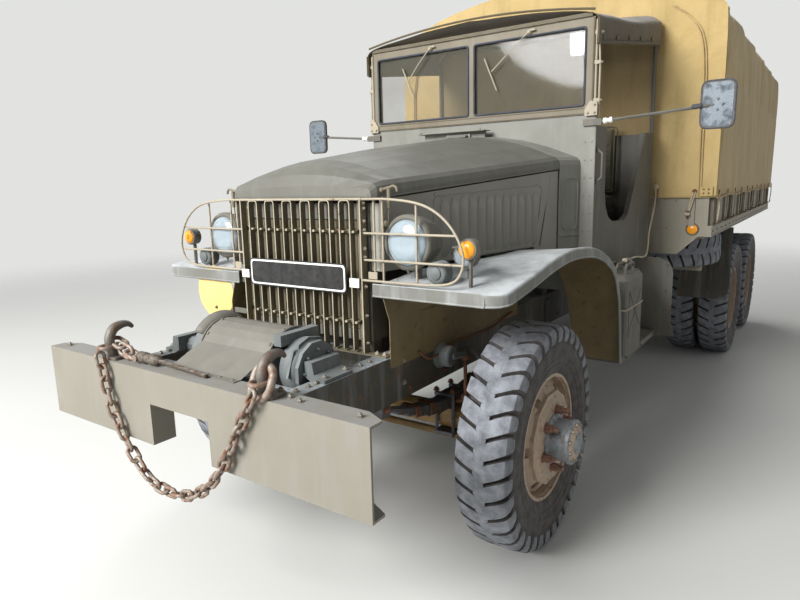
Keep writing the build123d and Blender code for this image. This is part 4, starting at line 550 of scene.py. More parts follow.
# the camera that was fitted to the photograph: its place, and its heading, tilt and roll
CAMERA_PLACE = (1722.0, -2277.0, 1492.0)
CAMERA_TURN = (35.081, -10.677, -1.345)


def look_along(yaw, pitch, roll):
    """Camera rotation for a heading from +Y toward -X, a tilt and a roll, in degrees."""
    y, p, r = (math.radians(v) for v in (yaw, pitch, roll))
    ahead = Vector((-math.sin(y) * math.cos(p), math.cos(y) * math.cos(p), math.sin(p)))
    right = ahead.cross(Vector((0, 0, 1))).normalized()
    up = right.cross(ahead)
    side = right * math.cos(r) + up * math.sin(r)
    top = up * math.cos(r) - right * math.sin(r)
    return Matrix((side, top, -ahead)).transposed().to_quaternion()


class TRUCK_OT_stage(bpy.types.Operator):
    """Makes the camera at the photograph's angle, the pale floor and the soft studio light"""
    bl_idname = "truck.stage"
    bl_label = "Camera, floor and light"

    def execute(self, context):
        scene = context.scene
        sizes = scene.truck_sizes
        scene.view_settings.view_transform = "Standard"
        camera = bpy.data.cameras.new("camera")
        camera.sensor_width = 36.0
        camera.lens = sizes.lens
        camera.clip_start = 0.05
        camera.clip_end = 200.0
        eye = bpy.data.objects.new("camera", camera)
        eye.rotation_mode = "QUATERNION"
        eye.location = at(*CAMERA_PLACE)
        eye.rotation_quaternion = look_along(*CAMERA_TURN)
        context.collection.objects.link(eye)
        scene.camera = eye

        tree, surface = new_material("floor", "floor_paper_seamless", {"Roughness": 0.9})
        tone = blend_colour(tree, times(tree, mottle(tree, 900.0, 3.0, 0.3, 0.7), 0.3),
                            linear("#d4d4d0"), linear("#cdcdc9"))
        tree.links.new(tone, surface.inputs["Base Color"])
        reach = add_node(tree, "ShaderNodeVectorMath", {"operation": "LENGTH"},
                         {0: object_place(tree)}).outputs[1]
        fade = add_node(tree, "ShaderNodeMapRange", {"interpolation_type": "SMOOTHERSTEP"}, {
            0: reach, 1: 5.0, 2: 13.0, 3: 1.0, 4: 0.0}).outputs[0]
        tree.links.new(fade, surface.inputs["Alpha"])
        bm = bmesh.new()
        bmesh.ops.create_circle(bm, cap_ends=True, radius=14.0, segments=96)
        mesh = bpy.data.meshes.new("floor")
        bm.to_mesh(mesh)
        bm.free()
        floor = bpy.data.objects.new("floor", mesh)
        mesh.materials.append(FINISHES["floor"])
        context.collection.objects.link(floor)

        world = bpy.data.worlds.new("studio")
        world.use_nodes = True
        tree = world.node_tree
        tree.nodes.clear()
        paths = add_node(tree, "ShaderNodeLightPath").outputs
        seen = add_node(tree, "ShaderNodeMath", {"operation": "MAXIMUM"}, {
            0: paths["Is Camera Ray"], 1: paths["Is Transmission Ray"]}).outputs[0]
        seen = add_node(tree, "ShaderNodeMath", {"operation": "MAXIMUM"}, {
            0: seen, 1: paths["Is Glossy Ray"]}).outputs[0]
        toward = add_node(tree, "ShaderNodeTexCoord").outputs["Generated"]
        from_left = add_node(tree, "ShaderNodeSeparateXYZ", inputs={0: toward}).outputs[0]
        fill = add_node(tree, "ShaderNodeMapRange", inputs={
            0: from_left, 1: -0.4, 2: 0.8, 3: sizes.fill_light, 4: sizes.fill_light * 0.28}).outputs[0]
        light = add_node(tree, "ShaderNodeBackground", inputs={0: linear("#eef1f4"), 1: fill})
        backdrop = add_node(tree, "ShaderNodeBackground", inputs={0: linear("#e2e3e1"), 1: 1.0})
        mixed = add_node(tree, "ShaderNodeMixShader", inputs={
            0: seen, 1: light.outputs[0], 2: backdrop.outputs[0]})
        add_node(tree, "ShaderNodeOutputWorld", inputs={0: mixed.outputs[0]})
        scene.world = world

        lamps = (("key_light", (-2.2, -10.5, 5.6), (0.0, -2.0, 0.9), 5.0, sizes.key_light),
                 ("side_light", (9.0, 1.0, 5.0), (0.0, 0.0, 1.0), 6.0, sizes.key_light * 0.03),
                 ("rear_light", (-5.0, 9.0, 7.0), (0.0, 1.0, 1.0), 6.0, sizes.key_light * 0.35))
        for name, place, target, size, power in lamps:
            lamp = bpy.data.lights.new(name, "AREA")
            lamp.shape = "DISK"
            lamp.size = size
            lamp.energy = power
            stand = bpy.data.objects.new(name, lamp)
            stand.location = place
            aim = Vector(target) - Vector(place)
            stand.rotation_mode = "QUATERNION"
            stand.rotation_quaternion = aim.to_track_quat("-Z", "Y")
            stand.visible_camera = False
            context.collection.objects.link(stand)
        return {"FINISHED"}


# Finishes of the CAD nodes

NODE_FINISH = {
    "frame": "frame", "front_bumper": "bumper", "tow_hooks": "hook", "winch": "gear_case",
    "winch_cover": "winch", "brush_guard": "guard", "lamps": "body", "winch_chain": "chain",
    "radiator": "body", "hood": "hood", "hood_sides": "hood_side", "cowl": "pale", "windscreen": "screen",
    "windscreen_glass": "glass", "cab": "body", "seat_cushions": "seat_duck",
    "steering_column": "body", "steering_wheel": "copper", "cab_roof": "olive_duck",
    "roof_frame": "body", "fenders": "fender", "running_boards": "body", "jerry_can": "body",
    "engine": "engine", "driveline": "engine", "front_axle": "axle", "front_springs": "spring",
    "knuckle_left": "axle", "knuckle_right": "axle", "tie_rod": "axle", "rear_axles": "axle",
    "rear_springs": "spring", "fuel_tank": "body", "exhaust": "exhaust", "splash_shields": "frame",
    "cargo_bed": "bed", "bed_racks": "wood", "cover_bows": "wood", "tailgate": "bed",
    "cargo_cover": "tan_duck", "mirrors": "body", "rear_fittings": "bed", "spare_disc": "wheel",
    "spare_tyre": "tyre_side", "spare_carrier": "bed",
}


class TRUCK_OT_finishes(bpy.types.Operator):
    """Gives every CAD node the finish of its real part"""
    bl_idname = "truck.finishes"
    bl_label = "Paint and bare metals"

    def execute(self, context):
        make_finishes()
        for name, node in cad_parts.items():
            finish = NODE_FINISH.get(name)
            if finish is None:
                finish = "wheel" if "disc" in name else "tyre_side"
            if not node.material_slots:
                raise RuntimeError(f"{name} has no material slot")
            for slot in node.material_slots:
                slot.material = FINISHES[finish]
        return {"FINISHED"}


# Tyres and wheels

CARCASS = [
    # distance across and radius, from a bead to the middle of the tread
    (74, 255), (84, 258), (92, 272), (98, 292), (103, 320), (106, 348), (104, 376), (99, 400),
    (91, 422), (78, 436), (56, 440), (0, 442)]
# distance across, radius and thickness of the rings on a sidewall
SIDE_RINGS = [(100.6, 304, 1.6), (104.6, 330, 1.2), (102.0, 386, 1.4)]


def tread_lug(bm, centre, side, angle, slant):
    """One tread lug: a broad tapered bar from the closed middle band over the shoulder."""
    stations = [
        # across, top radius, foot radius, half width at top, half width at foot
        (14.0, 463.6, 438.0, 28.0, 36.0), (24.0, 465.0, 438.0, 32.0, 37.0), (56.0, 464.8, 436.0, 32.5, 37.0),
        (84.0, 461.0, 428.0, 31.0, 36.0), (99.0, 452.0, 418.0, 29.0, 34.0), (106.5, 436.0, 404.0, 27.0, 32.0),
        (107.5, 412.0, 392.0, 22.0, 28.0), (105.0, 394.0, 386.0, 15.0, 21.0)]
    rows = []
    for across, top, foot, half_top, half_foot in stations:
        turn = angle + slant * (across / 100.0)
        row = []
        for radius, shift in ((top, -half_top), (top, half_top), (foot, half_foot), (foot, -half_foot)):
            a = turn + shift / radius
            reach = side * (across - (5.0 if radius == foot and across > 95 else 0.0))
            row.append(about_axle(centre, reach, radius, a))
        rows.append(row)
    # the lug's top takes the pale tread rubber, partly painted sky light, and its sides the dark rubber
    skin(bm, rows, index=(0, 1, 1, 1))


def tyre_form(bm, centre, count, phase=0.0):
    """Carcass, raised side rings and two staggered rows of lugs about an axle along X."""
    section = CARCASS + [(-across, radius) for across, radius in CARCASS[-2::-1]]
    line = [(p.x, p.y) for p in smooth_line(section, 3)]
    inside = [(-74.0, 262.0), (-84.0, 300.0), (-92.0, 350.0), (-80.0, 410.0), (0.0, 424.0),
              (80.0, 410.0), (92.0, 350.0), (84.0, 300.0), (74.0, 262.0)]
    loop = line + inside
    steps = 96
    rows = [[about_axle(centre, x, r, a) for x, r in loop] for a in turns(steps)]
    skin(bm, rows, ends=False, index=1, wrap=True)
    for across, radius, size in SIDE_RINGS:
        for side in (-1, 1):
            circle = [about_axle(centre, side * across, radius, a) for a in turns(64)]
            pipe(bm, circle, size, 6, True, 1)
    band = [(26.0, 438.0), (22.0, 461.0), (17.0, 463.0), (-17.0, 463.0), (-22.0, 461.0), (-26.0, 438.0)]
    ring = [[about_axle(centre, x, r, a) for x, r in band + [band[0]]] for a in turns(steps) + [math.tau]]
    skin(bm, ring, closed=False, ends=False, index=(1, 0, 0, 0, 1, 1))
    for i in range(count):
        angle = math.tau * i / count + phase
        tread_lug(bm, centre, 1, angle, 0.10)
        tread_lug(bm, centre, -1, angle + math.pi / count, 0.10)


WHEELS = (
    # name of the body, name of the tyre node, places along X, place along Y
    ("front_left_wheel", "front_left_tyre", (WHEEL_X,), 0.0),
    ("front_right_wheel", "front_right_tyre", (-WHEEL_X,), 0.0),
    ("mid_left_wheels", "mid_left_tyres", TWIN_X, MID_AXLE),
    ("mid_right_wheels", "mid_right_tyres", (-TWIN_X[0], -TWIN_X[1]), MID_AXLE),
    ("rear_left_wheels", "rear_left_tyres", TWIN_X, REAR_AXLE),
    ("rear_right_wheels", "rear_right_tyres", (-TWIN_X[0], -TWIN_X[1]), REAR_AXLE),
)


class TRUCK_OT_tyres(bpy.types.Operator):
    """Builds each tyre with its lugs, shoulders and side rings"""
    bl_idname = "truck.tyres"
    bl_label = "Tyres"

    def execute(self, context):
        count = context.scene.truck_sizes.lug_count
        for number, (body, node, places, y) in enumerate(WHEELS):
            bm = bmesh.new()
            for x in places:
                tyre_form(bm, Vector((x, y, WHEEL_Z)), count, 0.03 * number)
            make_piece(node + "_tread", bm, ["tyre", "tyre_side"], replaces=[node],
                       sharp=30, body=body)
        bm = bmesh.new()
        tyre_form(bm, Vector((0, 0, 0)), count)
        flat = Matrix.Translation((630.0, 2530.0, 1000.0)) @ Matrix.Rotation(math.radians(90), 4, "Y")
        make_piece("spare_tyre_tread", bm, ["tyre", "tyre_side"], replaces=["spare_tyre"],
                   sharp=30, place=flat)
        return {"FINISHED"}


class TRUCK_OT_hubs(bpy.types.Operator):
    """Adds the wheel nuts, the hub barrels with their bolts and caps, and the beads of the rims"""
    bl_idname = "truck.hubs"
    bl_label = "Hubs and wheel nuts"

    def execute(self, context):
        for body, node, places, y in WHEELS:
            side = 1 if places[0] > 0 else -1
            axis = Vector((side, 0, 0))
            front = len(places) == 1
            middle = Vector((places[0] if front else (places[0] + places[1]) / 2, y, WHEEL_Z))
            face = 105.0 if front else 10.0
            cap = 205.0 if front else 112.0
            bm = bmesh.new()
            for angle in turns(6):
                angle += math.radians(9)
                spot = middle + axis * face + Vector((0, math.sin(angle), math.cos(angle))) * 118
                bolt(bm, spot, axis, 17.0, 30.0, 0)
                turned(bm, spot, axis, [(11, 28), (11, 48), (9, 50)], 12, 0)
            for angle in turns(10):
                spot = middle + axis * (cap - 12) + Vector((0, math.sin(angle), math.cos(angle))) * 72
                bolt(bm, spot, axis, 8.0, 9.0, 1)
            turned(bm, middle + axis * (cap - 12), axis,
                   [(50, -2), (50, 10), (42, 16), (20, 19), (0, 19)], 28, 2)
            turned(bm, middle + axis * (cap - 28), axis, [(86, -4), (90, 0), (90, 14), (86, 16)], 40, 2)
            turned(bm, middle + axis * face, axis, [(104, -2), (104, 5), (86, 12),
                    (84, cap - face - 30)], 40, 2)
            make_piece(node + "_hub_nuts", bm, ["nut", "bolt", "barrel"], 0.8, body=body)
            bm = bmesh.new()
            for x in places:
                centre = Vector((x, y, WHEEL_Z))
                outward = side if x == places[-1] or front else -side
                for radius, along, size in ((281.0, 84.0, 4.5), (262.0, 79.0, 3.0), (248.0, 70.0, 3.5)):
                    circle = [about_axle(centre, outward * along, radius, a) for a in turns(64)]
                    pipe(bm, circle, size, 8, True, 0)
            make_piece(node + "_rim_beads", bm, "wheel", body=body)
        return {"FINISHED"}


# Winch, hooks and chain

CHAIN_ROUTE = ((-400.0, 905.0), (-345.0, 700.0), (-176.0, 505.0), (31.0, 488.0), (196.0, 589.0),
               (330.0, 790.0), (400.0, 905.0))


def chain_link(bm, middle, heading, across, length, width, bar):
    """One forged link, an oval of round bar."""
    points = []
    straight = (length - width) / 2
    bend = width / 2 - bar / 2
    for angle in turns(24):
        along = math.cos(angle) * bend + (straight if math.cos(angle) > 0.001 else -straight)
        points.append(middle + heading * along + across * math.sin(angle) * bend)
    pipe(bm, points, bar / 2, 10, True)


class TRUCK_OT_chain(bpy.types.Operator):
    """Hangs the tow chain of round links between its shackles, and adds the winch rope's end"""
    bl_idname = "truck.chain"
    bl_label = "Tow chain"

    def execute(self, context):
        bm = bmesh.new()
        line = smooth_line([(x, -1142.5, z) for x, z in CHAIN_ROUTE], 60)
        lengths = lengths_along(line)
        pitch = 45.7
        count = int(lengths[-1] / pitch) + 1
        start = (lengths[-1] - pitch * (count - 1)) / 2
        for i in range(count):
            along = min(max(start + pitch * i, 1.0), lengths[-1] - 1.0)
            k = next(n for n, v in enumerate(lengths) if v >= along)
            a, b = line[k - 1], line[k]
            middle = a.lerp(b, (along - lengths[k - 1]) / (lengths[k] - lengths[k - 1]))
            heading = (line[min(k + 6, len(line) - 1)] - line[max(k - 7, 0)]).normalized()
            flat = heading.cross(Vector((0, 1, 0))).normalized()
            lean = 0.35 * math.sin(i * 1.7)
            across = flat if i % 2 else Vector((0, 1, 0))
            other = Vector((0, 1, 0)) if i % 2 else flat
            across = (across * math.cos(lean) + other * math.sin(lean)).normalized()
            chain_link(bm, middle, heading, across, 71.0, 43.0, 12.6)
        for x in (HOOK_X, -HOOK_X):
            chain_link(bm, Vector((x, -1102.7, 935.0)), Vector((0, 1, 0)), Vector((1, 0, 0)),
                       95.0, 60.0, 14.5)
        make_piece("tow_chain_links", bm, "chain", replaces=["winch_chain"], sharp=60)

        bm = bmesh.new()
        low, high = 887.0 + 8.3, 887.0 + 21.3
        for strand in range(6):
            wire = []
            for i in range(61):
                t = i / 60
                angle = t * math.tau * 5 + strand * math.pi / 3
                wire.append((105.0 - 255.0 * t, -1072.0 + math.cos(angle) * 5.2,
                             low + (high - low) * t + math.sin(angle) * 5.2))
            pipe(bm, wire, 2.9, 6)
        turned(bm, (-150.0, -1072.0, high), (-1, 0, 0), [
            (9, -6), (15, 0), (20.5, 8), (20.5, 40), (17, 44), (17, 66), (20.5, 70), (20.5, 108),
            (12, 112)], 24)
        make_piece("winch_rope_and_socket", bm, "rope_wire", sharp=40)
        return {"FINISHED"}


# Bumper, hooks, winch and plates

# a tow hook's middle line as places along Y, heights and radii, from its foot to its tip
HORN = ((-1084.0, 889.0, 19.0), (-1098.0, 925.0, 17.0), (-1100.0, 962.0, 18.0), (-1083.0, 994.0, 18.0),
        (-1051.0, 1006.0, 15.0), (-1023.0, 1003.0, 11.0), (-1006.0, 989.0, 7.0))


def about_drum(x, radius, angle):
    """A point at a radius and an angle about the winch drum's axis."""
    return Vector((x, -790 + radius * math.cos(angle), 880 + radius * math.sin(angle)))


class TRUCK_OT_front_end(bpy.types.Operator):
    """Builds the forged hooks, shackle, winch case and cover beads, bolts, blank plate and blank disc"""
    bl_idname = "truck.front_end"
    bl_label = "Bumper, hooks and winch"

    def execute(self, context):
        bm = bmesh.new()
        for x in (HOOK_X, -HOOK_X):
            path = smooth_line([(x, y, z) for y, z, r in HORN], 6)
            pipe(bm, path, [p.x for p in smooth_line([(r, 0, 0) for y, z, r in HORN], 6)], 18)
            sheet_block(bm, round_rectangle(x - 44, x + 44, -1114, -1046, 12),
                        887.1, 899.0, "z")
            for dx in (-30, 30):
                bolt(bm, (x + dx, -1060, 898), UP, 9.5, 11.0)
        make_piece("tow_hooks_forged", bm, "hook", 1.5, replaces=["tow_hooks"], sharp=50)

        bm = bmesh.new()
        chain_link(bm, Vector((400, -1102, 934)), Vector((0, 0.42, 0.9)), Vector((1, 0, 0)),
                   128.0, 100.0, 25.0)
        for x, z, lean in ((-290.0, 911.0, 0.0), (-338.0, 921.0, 1.2), (-378.0, 945.0, 0.3)):
            chain_link(bm, Vector((x, -1078, z)), Vector((-0.94, -0.1, 0.34)),
                       Vector((0, math.cos(lean), math.sin(lean))), 84.0, 54.0, 15.0)
        turned(bm, (-258, -1048, 908), AHEAD, [(13, 0), (13, 6), (8, 7), (8, 42), (12, 43), (12, 50)], 16)
        make_piece("shackle_and_clevis", bm, "chain", sharp=50)

        bm = bmesh.new()
        for s in (1, -1):
            for x, y in ((330, -1062), (470, -1062), (520, -1075), (740, -1075)):
                bolt(bm, (s * x, y, 887), UP, 9.0, 9.0)
            for y in (-960.0, -905.0, -870.0, -700.0, -640.0, -585.0, -455.0, -400.0):
                bolt(bm, (s * 392, y, 860), UP, 8.5, 8.0)
            for y in (-840.0, -735.0):
                bolt(bm, (s * 404, y, 872), UP, 11.0, 10.0)
            for y, z in ((-1000, 830), (-1000, 740), (-955, 830), (-955, 740), (-420, 830), (-420, 745)):
                bolt(bm, (s * 428, y, z), (s, 0, 0), 8.5, 7.0)
        make_piece("bumper_and_rail_bolts", bm, "bolt", 0.6)

        bm = bmesh.new()
        for x in (-130.0, 220.0):
            arc = [about_drum(x, 133.0, math.radians(12 + 6.9 * k)) for k in range(21)]
            pipe(bm, arc, 4.0, 8)
            for k in (3, 8, 13, 18):
                out = arc[k] - about_drum(x, 0, 0)
                rivet(bm, arc[k] + Vector((math.copysign(14, 45 - x), 0, 0)), out, 6.0)
        for x in spread((-110, 0, 0), (200, 0, 0), 6):
            rivet(bm, (x.x, -1046, 890), UP, 6.5)
        flare = [[about_drum(-130 - 16 * k, 133 + r * k, math.radians(30 + 10 * j)) for j in range(12)]
                 for k, r in ((0, 0), (1, 7), (2, 11))]
        skin(bm, flare, closed=False, ends=False)
        cover = make_piece("winch_cover_beads", bm, "winch", sharp=60)
        thicken(cover, "sheet", 3.0)

        bm = bmesh.new()
        for a in turns(8):
            bolt(bm, about_drum(-213, 86, a), (-1, 0, 0), 7.0, 7.0)
            bolt(bm, about_drum(332, 70, a), (1, 0, 0), 7.0, 7.0)
        dome = [(60, 0), (95, 8), (104, 24), (106, 48), (100, 72), (84, 90), (50, 100), (2, 103)]
        turned(bm, (234, -790, 880), (1, 0, 0), dome, 40)
        box(bm, 222, 258, -884, -700, 968, 1006)
        sheet_block(bm, [(-905, 872), (-880, 872), (-868, 968)], 292.0, 302.0, "x")
        sheet_block(bm, [(-860, 930), (-850, 975), (-800, 992), (-740, 980), (-716, 930)], 296.0, 306.0, "x")
        pipe(bm, [(-228, -700, 900), (-228, -640, 905), (-228, -600, 868)], 9.0, 10)
        make_piece("winch_housing_fittings", bm, "gear_case", 1.2)

        for name, depth, inset, finish in (("base", 2.5, 0, "plate_black"), ("border", 3.1, 5, "plate_white"),
                                           ("field", 3.7, 12, "plate_black")):
            bm = bmesh.new()
            sheet_block(bm, round_rectangle(-265 + inset, 255 - inset, 1092 + inset, 1204 - inset, 16),
                        -531, -531 - depth)
            make_piece(f"number_plate_{name}", bm, finish, 0.3)
        bm = bmesh.new()
        for x in (-300, 290):
            box(bm, x - 22, x + 22, -531, -524, 1118, 1152)
            rivet(bm, (x, -531, 1135), AHEAD, 7)
        make_piece("number_plate_tabs", bm, "plate_white", 0.8)
        bm = bmesh.new()
        turned(bm, (-544, -500, 1030), AHEAD, [(0.1, -2), (118, -2), (120, -1), (120, 1), (118, 2),
                (0.1, 2)], 64)
        make_piece("bridge_disc_blank", bm, "disc_yellow", sharp=40)
        bm = bmesh.new()
        for z in (960, 1100):
            box(bm, -560, -316, -498, -493, z - 11, z + 11)
            bolt(bm, (-544, -502, z), AHEAD, 6, 5)
        make_piece("bridge_disc_bracket", bm, "body", 0.8)
        return {"FINISHED"}


class TRUCK_OT_guard(bpy.types.Operator):
    """Bends the radiator guard's hairpin bars, its ties and lamp hoops, over the radiator's slats"""
    bl_idname = "truck.guard"
    bl_label = "Radiator guard"

    def execute(self, context):
        bm = bmesh.new()
        edge = 318.0
        places = [p.x for p in spread((-edge, 0, 0), (edge, 0, 0), context.scene.truck_sizes.guard_bars)]
        for x in (places[0], places[-1]):
            # face 0 of each bar is its front, in the guard enamel; the other faces take the darker copy,
            # painted shade
            flat_bar(bm, [(x, 862), (x, 1438)], 3.0, -520, -486, (0, 1, 1, 1))
            side = math.copysign(1, x)
            sheet_block(bm, [(x - side * 34, 866), (x, 866), (x, 1436), (x - side * 34, 1436)],
                        -492, -487, "y", 1)
            for z in (905, 1010, 1120, 1230, 1262, 1330, 1362, 1408, 1428):
                bolt(bm, (x + side * 3, -502, z), (side, 0, 0), 6.5, 6, 0)
                rivet(bm, (x - side * 18, -492, z), AHEAD, 6, 0)
        for a, b in zip(places[1:-1:2], places[2:-1:2]):
            for x in (a, b):
                box(bm, x - 12, x + 12, -516, -490, 866, 872, 1)
            bend = [(a, 872), (a, 1424), (a + 3, 1433), (a + 11, 1437), (b - 11, 1437), (b - 3, 1433),
                    (b, 1424), (b, 872)]
            flat_bar(bm, bend, 2.6, -520, -492, (0, 1, 1, 1))
        for z in (980, 1140, 1322):
            box(bm, -edge, edge, -492, -486, z - 8, z + 8, 1)
            for a in places[1:-1]:
                box(bm, a + 3, a + 15, -514, -490, z - 4, z + 4, 0)
        box(bm, -418, 418, -520, -478, 860.2, 866, 1)
        for x in (-400, -365, 365, 400):
            bolt(bm, (x, -500, 866), UP, 8, 8)
        pipe(bm, [(-edge - 8, -517, 1441), (edge + 8, -517, 1441)], 5.0, 10)
        for s in (1, -1):
            loop = smooth_line([(edge, 1441), (440, 1440), (560, 1426), (640, 1394), (702, 1338), (738, 1266),
                                (735, 1204), (698, 1162), (610, 1148), (450, 1146), (edge, 1146)], 6)
            pipe(bm, [(s * p.x, -515, p.y) for p in loop], 4.6, 10)
            for z, reach in ((1318, 712), (1220, 735)):
                pipe(bm, [(s * edge, -506, z), (s * reach, -506, z)], 4.4, 8)
            for x, top in ((366, 1438), (404, 1438), (548, 1426)):
                pipe(bm, [(s * x, -498, 1148), (s * x, -498, top)], 4.4, 8)
            side_box(bm, s, 344, 384, -512, -508, 1152, 1178, 0)
        # the bars' sides, side plates and ties take the darker guard_side enamel, which is painted shade
        make_piece("radiator_guard_bars", bm, ["guard", "guard_side"], 0.6,
                   replaces=["brush_guard"], sharp=50)
        bm = bmesh.new()
        for p in spread((-284, 0, 0), (284, 0, 0), 38):
            sheet_block(bm, [(p.x - 5, -482), (p.x + 4, -474), (p.x + 6, -464), (p.x - 3, -472)],
                        950, 1360, "z")
        # the slats take the guard's darker enamel, painted shade behind the bars
        make_piece("radiator_slats", bm, "guard_side")
        return {"FINISHED"}


# Hood and windscreen details

def seam_place(y):
    """Half width and height of the seam between the hood and its side at a place along Y."""
    return 384.0 + (y + 500) * 0.1537, 1441.0 + (y + 500) * 0.0823


def cowl_side(y):
    """How far the beads on the cowl's side stand from the middle."""
    return 578 + (y - 769) * 0.345 + 1.5


class TRUCK_OT_hood_details(bpy.types.Operator):
    """Adds the hood's latches and hem beads, its sides' louvres and rivets, and the cowl's beads"""
    bl_idname = "truck.hood_details"
    bl_label = "Hood details"

    def execute(self, context):
        for s, name in SIDES:
            bm = bmesh.new()
            grip = smooth_line([(s * (416 + dx), -470, 1477 + dz) for dx, dz in (
                (-34, -6), (-14, 0), (4, 4), (20, 8), (32, 2), (36, -12))], 5)
            pipe(bm, grip, 5.0, 10)
            turned(bm, (s * 385, -470, 1471), (s, 0, 0), [(7, -8), (10, -4), (10, 4), (5, 8)], 14)
            pipe(bm, [(s * 416, -470, 1476), (s * 414, -470, 1408)], 8.0, 12)
            pipe(bm, [(s * 414, -470, 1410), (s * 411, -470, 1356)], 3.0, 8)
            turned(bm, (s * 402, -470, 1351), (s, 0, 0), [(7, -12), (12, -4), (12, 4), (6, 12)], 16)
            side_box(bm, s, 384, 402, -484, -456, 1344, 1358)
            make_piece(f"hood_latch_{name}", bm, "screen", 0.6)

            bm = bmesh.new()
            hem = [(s * (seam_place(y)[0] + 2), y, seam_place(y)[1] + 3) for y in range(-478, 764, 138)]
            pipe(bm, hem, 3.2, 8)
            make_piece(f"hood_hem_{name}", bm, "hood", body="hood")

            bm = bmesh.new()
            for y, z in ((-240, 1418), (-180, 1446), (560, 1470), (-240, 1196), (540, 1192)):
                rivet(bm, (s * (seam_place(y)[0] - 4), y, z), (s, 0, 0), 6.5)
            for z in (1230, 1300, 1370, 1410):
                rivet(bm, (s * (seam_place(-466)[0] - 4), -466, z), (s, 0, 0), 5.5)
            frame_line = [(-190, 1182), (-190, 1438), (612, 1470), (560, 1182)]
            pipe(bm, [(s * (seam_place(y)[0] - 3), y, z) for y, z in round_box(frame_line, 34)], 2.6, 6, True)
            for k in range(12):
                y = -124.0 + 61.0 * k
                x = seam_place(y)[0] - 4.5
                skin(bm, [[(s * (x - 2), y - 22 * w, z), (s * (x + 15 * d), y + 9 * w, z),
                           (s * (x + 15 * d), y + 14 * w, z), (s * (x - 2), y + 19 * w, z)]
                          for z, d, w in ((1194, 0.05, 0.9), (1210, 1, 1), (1400, 1, 1), (1438, 0.05, 0.15))])
            behind = [(y, z) for y, z in ((556, 1146), (768, 1146), (768, 1538), (556, 1520))]
            skin(bm, [[(s * (seam_place(y)[0] - depth), y, z) for y, z in behind] for depth in (11, 8)])
            pipe(bm, [(s * (seam_place(y)[0] - 4), y, z) for y, z in ((690, 1516), (606, 1176))], 3.5, 8)
            # the louvre panels take the lighter hood-side enamel, which is painted light
            make_piece(f"hood_side_louvres_{name}", bm, "hood_side")

            bm = bmesh.new()
            line = round_rectangle(790, 905, 1240, 1500, 40)
            pipe(bm, [(s * cowl_side(y), y, z) for y, z in line], 3.0, 8, True)
            pipe(bm, [(s * cowl_side(y), y, 1210) for y in (775, 840, 918)], 4.0, 8)
            for z in range(1140, 1720, 90):
                rivet(bm, (s * 684, 925, z), AHEAD, 6)
                rivet(bm, (s * 650, 925, z), AHEAD, 6)
            pipe(bm, [(s * 700, 929, z) for z in (910, 1400, 1812)], 4.0, 8)
            # the cowl's beads take the cowl's paler enamel, painted light
            make_piece(f"cowl_beads_{name}", bm, "pale")
        bm = bmesh.new()
        for x in (-280.0, 104.0):
            turned(bm, (x, 823, 1771), UP, [(8, -2), (8, 4), (4, 7)], 12)
        pipe(bm, [(-296, 822, 1769), (120, 822, 1769)], 3.5, 8)
        make_piece("air_lid_edge", bm, "pale")
        return {"FINISHED"}


